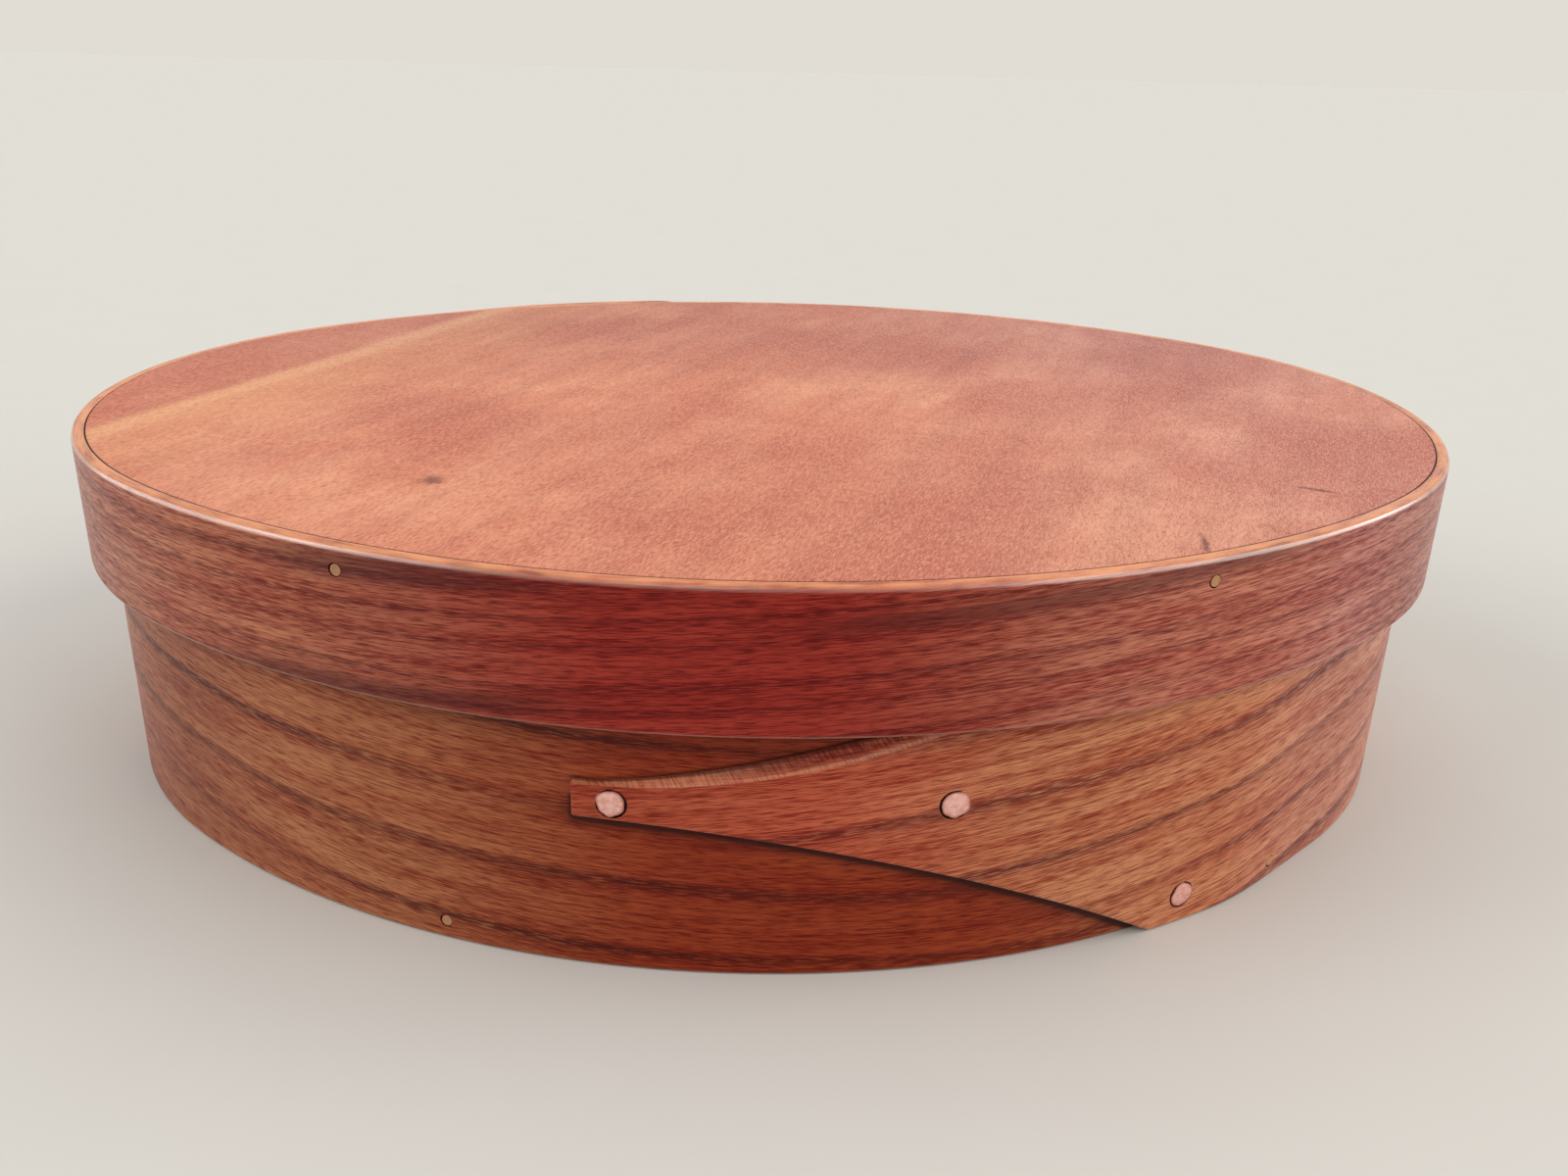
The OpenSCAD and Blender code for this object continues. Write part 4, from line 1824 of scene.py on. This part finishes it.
@dataclass
class Sizes:
    """Sizes that the box and the lid share, read from the frame. The trim keeps round faces in its box.

    Attributes:
        box_oval: Outline of the box band's outer face.
        box_height: Height of the box band.
        band: Thickness of the box band.
        bottom: Thickness of the bottom board.
        lid_low: Height of the lid band's lower edge.
        lid_top: Height of the lid's top.
        lid_band: Thickness of the lid band.
        lid_board: Thickness of the lid board.
        lid_forward: Distance of the lid's middle in front of the box's.
        lid_oval: Outline of the lid band's outer face.
    """

    SIDE_JOIN = math.radians(42.7)
    BOARD_FIT = 0.05 * MM
    TRIM = 0.04 * MM

    box_oval: Oval
    box_height: float
    band: float
    bottom: float
    lid_low: float
    lid_top: float
    lid_band: float
    lid_board: float
    lid_forward: float
    lid_oval: Oval

    @classmethod
    def from_frame(cls) -> Sizes:
        """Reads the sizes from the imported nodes.

        Returns:
            The sizes.
        """
        band_low, band_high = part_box("box_band")
        board_low, board_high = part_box("bottom_board")
        lid_low, lid_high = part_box("lid_band")
        top_low, top_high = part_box("lid_board")
        box_oval = Oval.joined_at(band_high.x, band_high.y, cls.SIDE_JOIN)
        return cls(
            box_oval=box_oval,
            box_height=band_high.z - band_low.z,
            band=band_high.x - board_high.x - cls.BOARD_FIT,
            bottom=board_high.z - board_low.z,
            lid_low=lid_low.z,
            lid_top=lid_high.z,
            lid_band=lid_high.x - top_high.x - cls.BOARD_FIT - cls.TRIM,
            lid_board=top_high.z - top_low.z,
            lid_forward=-(top_low.y + top_high.y) / 2,
            lid_oval=box_oval.grown(lid_high.x - band_high.x - cls.TRIM),
        )


@dataclass
class TackSize:
    """Sizes of the copper tacks.

    Attributes:
        head_radius: Radius of a head.
        head_thickness: Thickness of a head.
        stand: How far a head stands out of the wood.
        shank_radius: Radius of a shank.
        slack: Gap round a head.
        fit: Gap round a shank.
    """

    head_radius: float = 2.2 * MM
    head_thickness: float = 0.6 * MM
    stand: float = 0.12 * MM
    shank_radius: float = 0.7 * MM
    slack: float = 0.26 * MM
    fit: float = 0.05 * MM

    def inputs(self) -> dict[str, float]:
        """Gives the tack tree's sizes."""
        return {
            "Head Radius": self.head_radius,
            "Head Thickness": self.head_thickness,
            "Head Stand": self.stand,
            "Rounding": 0.1 * MM,
            "Shank Radius": self.shank_radius,
            "Tip Length": 2.6 * MM,
            "Unevenness": 0.4,
            "Dents": 0.12 * MM,
            "Lump Size": 1.7 * MM,
        }

    def hole(self) -> list[tuple[float, float]]:
        """Gives the hole's steps."""
        under = self.stand - self.head_thickness
        return [(self.head_radius + self.slack, 0.0), (self.shank_radius + self.fit, under)]


@dataclass
class PegSize:
    """Sizes of the wooden pegs.

    Attributes:
        length: How deep a peg goes.
        radius: Radius of a peg.
        sunk: Depth of its end below the wood.
        slack: Gap round a peg.
    """

    SHANK_SHARE = 0.97

    length: float = 11.8 * MM
    radius: float = 0.95 * MM
    sunk: float = 0.04 * MM
    slack: float = 0.16 * MM

    def inputs(self) -> dict[str, float]:
        """Gives the peg tree's sizes."""
        return {
            "Head Radius": self.radius,
            "Head Thickness": 1.2 * MM,
            "Head Stand": -self.sunk,
            "Rounding": 0.12 * MM,
            "Shank Radius": self.SHANK_SHARE * self.radius,
            "Tip Length": 0.0,
            "Unevenness": 0.12,
            "Dents": 0.05 * MM,
            "Lump Size": 0.9 * MM,
        }

    def hole(self) -> list[tuple[float, float]]:
        """Gives the hole's steps."""
        return [(self.radius + self.slack, 0.0)]


@dataclass
class Workshop:
    """Trees and finishes that the box and the lid share.

    Attributes:
        effects: Shader groups.
        fastenings: Trees of tacks and pegs.
        boards: Tree of boards.
        copper: Finish of the tacks.
        peg: Finish of the pegs.
    """

    effects: Effects
    fastenings: Fastenings
    boards: Boards
    copper: bpy.types.Material
    peg: bpy.types.Material


def dress(piece: bpy.types.Object, body: str, nodes: Sequence[str]) -> None:
    """Puts a piece on its body, in place of its CAD nodes.

    Args:
        piece: The piece.
        body: The CAD body that it moves with.
        nodes: The CAD nodes that it stands for.
    """
    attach(piece, body)
    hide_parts(*nodes)
    LOG.info("%s on %s: %d faces", piece.name, body, len(piece.data.polygons))


@dataclass
class Body(ABC):
    """A body of the box: a lapped band with its board, tacks and pegs.

    Attributes:
        sizes: The shared sizes.
        band_wood: Finish of the band.
        board_wood: Finish of the board.
        tack: Sizes of the tacks.
        peg: Sizes of the pegs.
    """

    BODY = ""
    BOARD = ""
    PEG = ""
    PEGS = 0
    TACK_SEED = 0.0
    PEG_SEED = 0.0
    PEG_LEAN = 0.0

    sizes: Sizes
    band_wood: BandWood
    board_wood: BoardWood
    tack: TackSize = field(default_factory=TackSize)
    peg: PegSize = field(default_factory=PegSize)

    @abstractmethod
    def band(self) -> BentBand:
        """Describes the band."""

    @abstractmethod
    def tacks(self) -> list[Fixing]:
        """Lists the tacks."""

    @abstractmethod
    def board(self, boards: Boards, wood: bpy.types.Material) -> bpy.types.Object:
        """Makes the board."""

    def pegs(self, band: BentBand) -> list[Fixing]:
        """Lists the pegs of the board, where the CAD has them.

        Args:
            band: The band that they go through.

        Returns:
            The pegs.
        """
        start = band.oval.perimeter / 2 if band.at_back else 0.0
        made = []
        for number in range(1, self.PEGS + 1):
            node = f"{self.PEG}_{number}"
            centre = sum(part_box(node), Vector()) / 2
            along = band.oval.along_of(centre.x, centre.y + band.forward) - start
            made.append(Fixing(node, along, centre.z, self.peg.length, self.PEG_LEAN))
        return made

    def build(self, workshop: Workshop) -> None:
        """Builds and dresses the pieces.

        Args:
            workshop: The shared trees and finishes.
        """
        band = self.band()
        tacks, pegs = self.tacks(), self.pegs(band)
        strip = new_object(band.name, band.mesh())
        strip.data.materials.append(self.band_wood.material(workshop.effects, band))
        Drill(band, tacks, self.tack.hole()).cut(strip)
        Drill(band, pegs, self.peg.hole()).cut(strip)
        dress(strip, self.BODY, [f"{self.BODY}_band"])

        board = self.board(workshop.boards, self.board_wood.material(workshop.effects))
        Drill(band, pegs, self.peg.hole()).cut(board)
        dress(board, self.BODY, [self.BOARD])

        trees = workshop.fastenings
        for kind, tree, size, fixings, seed, wood, slot in (
            ("tacks", trees.tack_tree, self.tack, tacks, self.TACK_SEED, workshop.copper, "copper"),
            ("pegs", trees.peg_tree, self.peg, pegs, self.PEG_SEED, workshop.peg, "peg_wood"),
        ):
            piece = trees.points(f"{self.BODY}_{kind}", band, fixings)
            grow(piece, tree, {**size.inputs(), "Seed": seed, "Material": wood})
            dress(piece, self.BODY, [f.node for f in fixings])


@dataclass
class BoxBody(Body):
    """The box, with its lap at the front.

    Attributes:
        tack_edge: Distance of the root tacks from the band's edges.
        tack_bite: How deep the lower root tack goes into the bottom board.
        board_arris: Size of the bottom board's bevel.
    """

    BODY = "box"
    BOARD = "bottom_board"
    PEG = "bottom_peg"
    PEGS = 5
    TACK_SEED = 3.0
    PEG_SEED = 5.0
    PEG_LEAN = -0.1 * MM

    tack_edge: float = 5.4 * MM
    tack_bite: float = 4 * MM
    board_arris: float = 0.25 * MM

    def band(self) -> BentBand:
        """Describes the box band.

        Returns:
            The band.
        """
        finger = Finger(
            tip_reach=30.8 * MM,
            tip_height=5.5 * MM,
            curve_radius=172 * MM,
            lap_end=math.radians(41.0),
            wide_bevel=2.9 * MM,
            bevel_run=40 * MM,
            lower_bevel=0.2 * MM,
        )
        return BentBand(
            name="box_band_strip",
            oval=self.sizes.box_oval,
            thickness=self.sizes.band,
            low=0.0,
            height=self.sizes.box_height,
            finger=finger,
            upper_out=Corner(0.4 * MM, 0.4 * MM),
            upper_in=Corner(0.4 * MM, 0.4 * MM),
            lower_out=Corner(0.45 * MM, 0.45 * MM),
            lower_in=Corner(0.2 * MM, 0.2 * MM),
        )

    def tacks(self) -> list[Fixing]:
        """Lists the tacks of the box, along from the middle of the front.

        Returns:
            The tacks.
        """
        fit, height = Sizes.BOARD_FIT, self.sizes.box_height
        walls = 2 * self.sizes.band + fit
        through = walls + 2 * self.tack.shank_radius
        root = 70.4 * MM
        high = height - self.tack_edge
        return [
            Fixing("finger_tip_tack", -24.6 * MM, height / 2, through, lean=0.15 * MM, clinched=True),
            Fixing("finger_middle_tack", 26.7 * MM, height / 2, through, lean=-0.18 * MM, clinched=True),
            Fixing("lap_lower_tack", root, self.tack_edge, walls + self.tack_bite, lean=-0.18 * MM),
            Fixing("lap_upper_tack", root, high, through, lean=0.08 * MM, clinched=True),
        ]

    def board(self, boards: Boards, wood: bpy.types.Material) -> bpy.types.Object:
        """Makes the bottom board.

        Args:
            boards: The tree of boards.
            wood: Its finish.

        Returns:
            The board.
        """
        inside = self.sizes.box_oval.grown(-self.sizes.band - Sizes.BOARD_FIT)
        span = (0.0, self.sizes.bottom)
        return boards.build("bottom_board_oval", inside, span, self.board_arris, 0.0, wood)


@dataclass
class Lid(Body):
    """The lid, with its lap at the back.

    Attributes:
        peg: Sizes of the pegs.
        root_edge: Distance of the root tack from the band's lower edge.
        tack_short: How far a tack's point stays below the inner face.
        board_arris: Size of the lid board's bevel.
    """

    BODY = "lid"
    BOARD = "lid_board"
    PEG = "lid_peg"
    PEGS = 6
    TACK_SEED = 4.0
    PEG_SEED = 6.0
    PEG_LEAN = -0.12 * MM

    peg: PegSize = field(default_factory=lambda: PegSize(length=12.3 * MM))
    root_edge: float = 4.6 * MM
    tack_short: float = 0.02 * MM
    board_arris: float = 0.3 * MM

    def band(self) -> BentBand:
        """Describes the lid band.

        Returns:
            The band.
        """
        finger = Finger(
            tip_reach=26 * MM,
            tip_height=5 * MM,
            curve_radius=190 * MM,
            lap_end=math.radians(34.0),
            wide_bevel=1.9 * MM,
            bevel_run=34 * MM,
            lower_bevel=0.25 * MM,
        )
        return BentBand(
            name="lid_band_strip",
            oval=self.sizes.lid_oval,
            thickness=self.sizes.lid_band,
            low=self.sizes.lid_low,
            height=self.sizes.lid_top - self.sizes.lid_low,
            finger=finger,
            upper_out=Corner(1.0 * MM, 0.9 * MM),
            upper_in=Corner(0.22 * MM, 0.22 * MM),
            lower_out=Corner(0.6 * MM, 0.6 * MM),
            lower_in=Corner(0.3 * MM, 0.3 * MM),
            at_back=True,
            forward=self.sizes.lid_forward,
        )

    def tacks(self) -> list[Fixing]:
        """Lists the tacks of the lid, along from the middle of the back.

        Returns:
            The tacks.
        """
        through = 2 * self.sizes.lid_band - self.tack_short
        middle = (self.sizes.lid_low + self.sizes.lid_top) / 2
        low = self.sizes.lid_low + self.root_edge
        return [
            Fixing("lid_tip_tack", -19.8 * MM, middle, through, lean=0.1 * MM),
            Fixing("lid_middle_tack", 18 * MM, middle, through, lean=-0.1 * MM),
            Fixing("lid_root_tack", 44 * MM, low, through, lean=-0.1 * MM),
        ]

    def board(self, boards: Boards, wood: bpy.types.Material) -> bpy.types.Object:
        """Makes the lid board.

        Args:
            boards: The tree of boards.
            wood: Its finish.

        Returns:
            The board.
        """
        sizes = self.sizes
        inside = sizes.lid_oval.grown(-sizes.lid_band - Sizes.BOARD_FIT)
        span = (sizes.lid_top - sizes.lid_board, sizes.lid_board)
        return boards.build("lid_board_oval", inside, span, self.board_arris, sizes.lid_forward, wood)


# The studio


@dataclass(frozen=True)
class Lamp:
    """A broad, distant light, which falls evenly on the whole floor.

    Attributes:
        name: The lamp's name.
        side: Direction in which it stands, seen from the box.
        strength: Its strength, in watts per square metre.
        spread: How broad it looks, in degrees.
        colour: Its colour.
    """

    name: str
    side: tuple[float, float, float]
    strength: float
    spread: float
    colour: tuple[float, float, float]


@dataclass
class Studio:
    """Floor, light and camera.

    Attributes:
        eye: The camera's place.
        yaw: How far it looks to the right, in radians.
        pitch: How far it looks down.
        roll: How far it leans.
        lens: Its focal length, in millimetres.
        sensor: Width of its sensor, in millimetres.
        floor_half: Half the floor's width.
        floor_colour: The floor's colour as it is seen.
        floor_bounce: The floor's colour for the light that it throws back.
        backdrop: Colour of the background as it is seen.
        sky: Colour of the light from all round.
        sky_strength: Its strength.
        lamps: The lamps.
    """

    FLOOR_DROP = 0.1 * MM
    GRAIN_RATE = 40.0
    GRAIN_SHADE = 0.97
    CLIP = (0.01, 50.0)

    eye: tuple[float, float, float] = (-6.83 * MM, -280.26 * MM, 136.63 * MM)
    yaw: float = 0.0396
    pitch: float = 0.3829
    roll: float = 0.0271
    lens: float = 31.351
    sensor: float = 36.0
    floor_half: float = 6.0
    floor_colour: Colour = srgb(218, 214, 206)
    floor_bounce: Colour = srgb(124, 120, 116)
    backdrop: Colour = srgb(225, 221, 213)
    sky: Colour = (0.95, 0.98, 1.0, 1.0)
    sky_strength: float = 0.4
    lamps: tuple[Lamp, ...] = (
        Lamp("ceiling", (0.12, 0.45, 1.0), 0.8, 70.0, (1.0, 1.0, 1.0)),
        Lamp("right_window", (1.1, -0.35, 0.4), 2.1, 70.0, (1.0, 0.98, 0.95)),
        Lamp("left_window", (-1.2, -0.1, 0.38), 1.6, 70.0, (0.97, 0.99, 1.0)),
        Lamp("right_glint", (0.93, 0.25, 0.26), 0.25, 18.0, (1.0, 0.95, 0.98)),
        Lamp("left_glint", (-0.87, -0.15, 0.48), 0.25, 18.0, (0.98, 0.95, 1.0)),
        Lamp("front_key", (-0.3, -1.0, 1.3), 0.15, 25.0, (1.0, 0.98, 0.95)),
    )

    def build(self) -> None:
        """Builds the floor, the light and the camera."""
        self._floor()
        self._world()
        self._lights()
        self._camera()

    def _shown(self, wiring: Wiring) -> Field:
        """Finds the rays that show a background: to the camera, in a mirror or through glass.

        Args:
            wiring: The material's or the world's wiring.

        Returns:
            Their mask.
        """
        rays = wiring.node("ShaderNodeLightPath").outputs
        camera, glossy, through = [
            Field(wiring, rays[f"Is {kind} Ray"]) for kind in ("Camera", "Glossy", "Transmission")
        ]
        return camera.at_least(glossy).at_least(through)

    def _floor(self) -> None:
        """Makes a plain pale floor."""
        half = self.floor_half
        mesh = bpy.data.meshes.new("floor")
        corners = [(-half, -half), (half, -half), (half, half), (-half, half)]
        mesh.from_pydata([(x, y, -self.FLOOR_DROP) for x, y in corners], [], [(0, 1, 2, 3)])
        floor = new_object("floor", mesh)
        made = Surface("pale_floor")
        grain = made.noise(made.out("ShaderNodeTexCoord", output="Object") * self.GRAIN_RATE, 1.0)
        shade = tuple(self.GRAIN_SHADE * c for c in self.floor_colour[:3]) + (1.0,)
        pale = made.blend(grain, self.floor_colour, shade)
        tone = made.blend(self._shown(made), self.floor_bounce, pale)
        for name, value in (("Base Color", tone), ("Roughness", 0.95), ("Specular IOR Level", 0.0)):
            made.feed(made.shader.inputs[name], value)
        mesh.materials.append(made.material)

    def _world(self) -> None:
        """Makes a soft sky, with a plain pale backdrop for what is seen or mirrored."""
        world = bpy.data.worlds.new("studio")
        bpy.context.scene.world = world
        world.use_nodes = True
        world.node_tree.nodes.clear()
        made = Wiring(world.node_tree)
        sky = made.out("ShaderNodeBackground", {"Color": self.sky, "Strength": self.sky_strength})
        seen = made.out("ShaderNodeBackground", {"Color": self.backdrop, "Strength": 1.0})
        mixed = made.out("ShaderNodeMixShader", {0: self._shown(made), 1: sky, 2: seen})
        made.node("ShaderNodeOutputWorld", {"Surface": mixed})

    def _lights(self) -> None:
        """Hangs the lamps."""
        for lamp in self.lamps:
            light = bpy.data.lights.new(lamp.name, "SUN")
            light.energy = lamp.strength
            light.angle = math.radians(lamp.spread)
            light.color = lamp.colour
            made = bpy.data.objects.new(lamp.name, light)
            made.rotation_euler = (-Vector(lamp.side)).to_track_quat("-Z", "Y").to_euler()
            bpy.context.scene.collection.objects.link(made)

    def _camera(self) -> None:
        """Puts the camera at the photograph's viewing angle."""
        level_part = math.cos(self.pitch)
        forward = Vector(
            (math.sin(self.yaw) * level_part, math.cos(self.yaw) * level_part, -math.sin(self.pitch))
        )
        level = forward.cross(Vector((0.0, 0.0, 1.0))).normalized()
        right = math.cos(self.roll) * level + math.sin(self.roll) * level.cross(forward)
        data = bpy.data.cameras.new("camera")
        data.sensor_fit = "HORIZONTAL"
        data.sensor_width = self.sensor
        data.lens = self.lens
        data.clip_start, data.clip_end = self.CLIP
        camera = bpy.data.objects.new("camera", data)
        turned = Matrix((right, right.cross(forward), -forward)).transposed().to_4x4()
        turned.translation = Vector(self.eye)
        camera.matrix_world = turned
        bpy.context.scene.collection.objects.link(camera)
        bpy.context.scene.camera = camera


def box_wood() -> BandWood:
    """Describes the box band's cherry: golden at the right, with painted shade that makes the front deep red
    and a painted bluish sheen at the right end.

    Returns:
        The finish.
    """
    palette = BandPalette(
        pale=srgb(212, 140, 94),
        warm=srgb(176, 90, 56),
        deep=srgb(142, 54, 34),
        line=srgb(82, 30, 30),
        pore=srgb(116, 36, 22),
        rubbed_and_lit=srgb(228, 152, 110),
    )
    return BandWood(
        name="box_band_cherry",
        palette=palette,
        drift=Drift(height=19.5, start=60.0, reach=150.0),
        spacing=12.3,
        phase=10.2,
        breadth=0.21,
        sway=4.0,
        uneven=2.0,
        line_share=0.95,
        zones=(),
        stretches=(
            # Painted shade: the front of the inner layer is made deep red.
            Stretch(747.0, 20.0, 80.0, (0.7, 0.28, 0.2, 1.0)),
            Stretch(90.0, 60.0, 130.0, (1.28, 1.32, 1.45, 1.0)),
            # Painted shade: the lap's front near the tip is made redder.
            Stretch(-15.0, 15.0, 60.0, (1.0, 0.54, 0.58, 1.0)),
            # Painted sheen: the right end is made bluish.
            Stretch(130.0, 15.0, 60.0, (0.93, 1.04, 1.4, 1.0)),
            Stretch(612.0, 12.0, 45.0, (0.78, 0.7, 0.74, 1.0)),
        ),
        seed=3.0,
    )


def lid_wood() -> BandWood:
    """Describes the lid band's cherry: dark patches, painted shade that makes the front deep red, and a
    painted bluish sheen towards both ends.

    Returns:
        The finish.
    """
    palette = BandPalette(
        pale=srgb(210, 130, 98),
        warm=srgb(172, 78, 58),
        deep=srgb(132, 40, 34),
        line=srgb(80, 26, 30),
        pore=srgb(102, 26, 24),
        rubbed_and_lit=srgb(246, 166, 110),
    )
    return BandWood(
        name="lid_band_cherry",
        palette=palette,
        drift=Drift(height=6.0, start=401.0, reach=75.0),
        spacing=4.7,
        phase=51.0,
        breadth=0.24,
        sway=2.4,
        uneven=5.0,
        line_share=0.6,
        zones=(
            DarkZone(290.0, 350.0, 51.2, 1.6),
            DarkZone(385.0, 470.0, 62.6, 1.3),
            DarkZone(303.0, 345.0, 70.3, 2.0),
        ),
        stretches=(
            # Painted shade: the front of the lid band is made deep red.
            Stretch(371.0, 12.0, 62.0, (0.8, 0.24, 0.27, 1.0)),
            Stretch(281.0, 15.0, 45.0, (1.12, 1.18, 1.1, 1.0)),
            # Painted sheen: the front right is made paler and bluish.
            Stretch(456.0, 20.0, 55.0, (1.2, 1.28, 1.4, 1.0)),
            # Painted sheen: towards the right end, bluish.
            Stretch(508.0, 15.0, 55.0, (0.98, 1.18, 1.5, 1.0)),
            # Painted sheen: towards the left end, bluish.
            Stretch(245.0, 12.0, 45.0, (1.0, 1.15, 1.3, 1.0)),
        ),
        seed=9.0,
    )


def lid_board_wood() -> BoardWood:
    """Describes the lid board's cherry, with its sapwood and gum marks.

    Returns:
        The finish.
    """
    palette = Palette(
        pale=srgb(230, 156, 121),
        warm=srgb(210, 128, 97),
        deep=srgb(182, 97, 78),
        line=srgb(104, 46, 36),
        pore=srgb(158, 70, 48),
    )
    return BoardWood(
        name="lid_board_cherry",
        palette=palette,
        sapwood=srgb(228, 166, 121),
        halo=srgb(218, 150, 104),
        grain_turn=67.0,
        stripe_place=98.0,
        stripe_width=4.6,
        marks=(
            GumMark(-56.9, -63.1, 3.4, 4.0, 10.0),
            GumMark(64.1, -88.9, 7.0, 0.9, 79.0),
            GumMark(92.4, -61.1, 5.5, 1.3, -30.0),
        ),
        seed=13.0,
    )


def bottom_board_wood() -> BoardWood:
    """Describes the bottom board's cherry, which has neither sapwood nor gum marks.

    Returns:
        The finish.
    """
    off_the_board = -150.0
    return replace(
        lid_board_wood(),
        name="bottom_board_cherry",
        grain_turn=4.0,
        stripe_place=off_the_board,
        marks=(),
        seed=21.0,
    )


def open_workshop() -> Workshop:
    """Builds the shared trees and finishes.

    Returns:
        The workshop.
    """
    effects = Effects()
    copper = HammeredCopper("hammered_copper", srgb(254, 204, 194), srgb(236, 172, 158), srgb(176, 100, 82))
    peg = PegWood("peg_end_grain", srgb(212, 152, 106), srgb(140, 80, 50))
    return Workshop(effects, Fastenings(), Boards(), copper.material(effects), peg.material(effects))


def main() -> None:
    """Builds the box, the lid and the studio."""
    logging.basicConfig(level=logging.INFO, format="%(name)s: %(message)s")
    bpy.context.scene.view_settings.view_transform = "Standard"
    sizes = Sizes.from_frame()
    workshop = open_workshop()
    BoxBody(sizes, box_wood(), bottom_board_wood()).build(workshop)
    Lid(sizes, lid_wood(), lid_board_wood()).build(workshop)
    Studio().build()


if __name__ == "__main__":
    main()
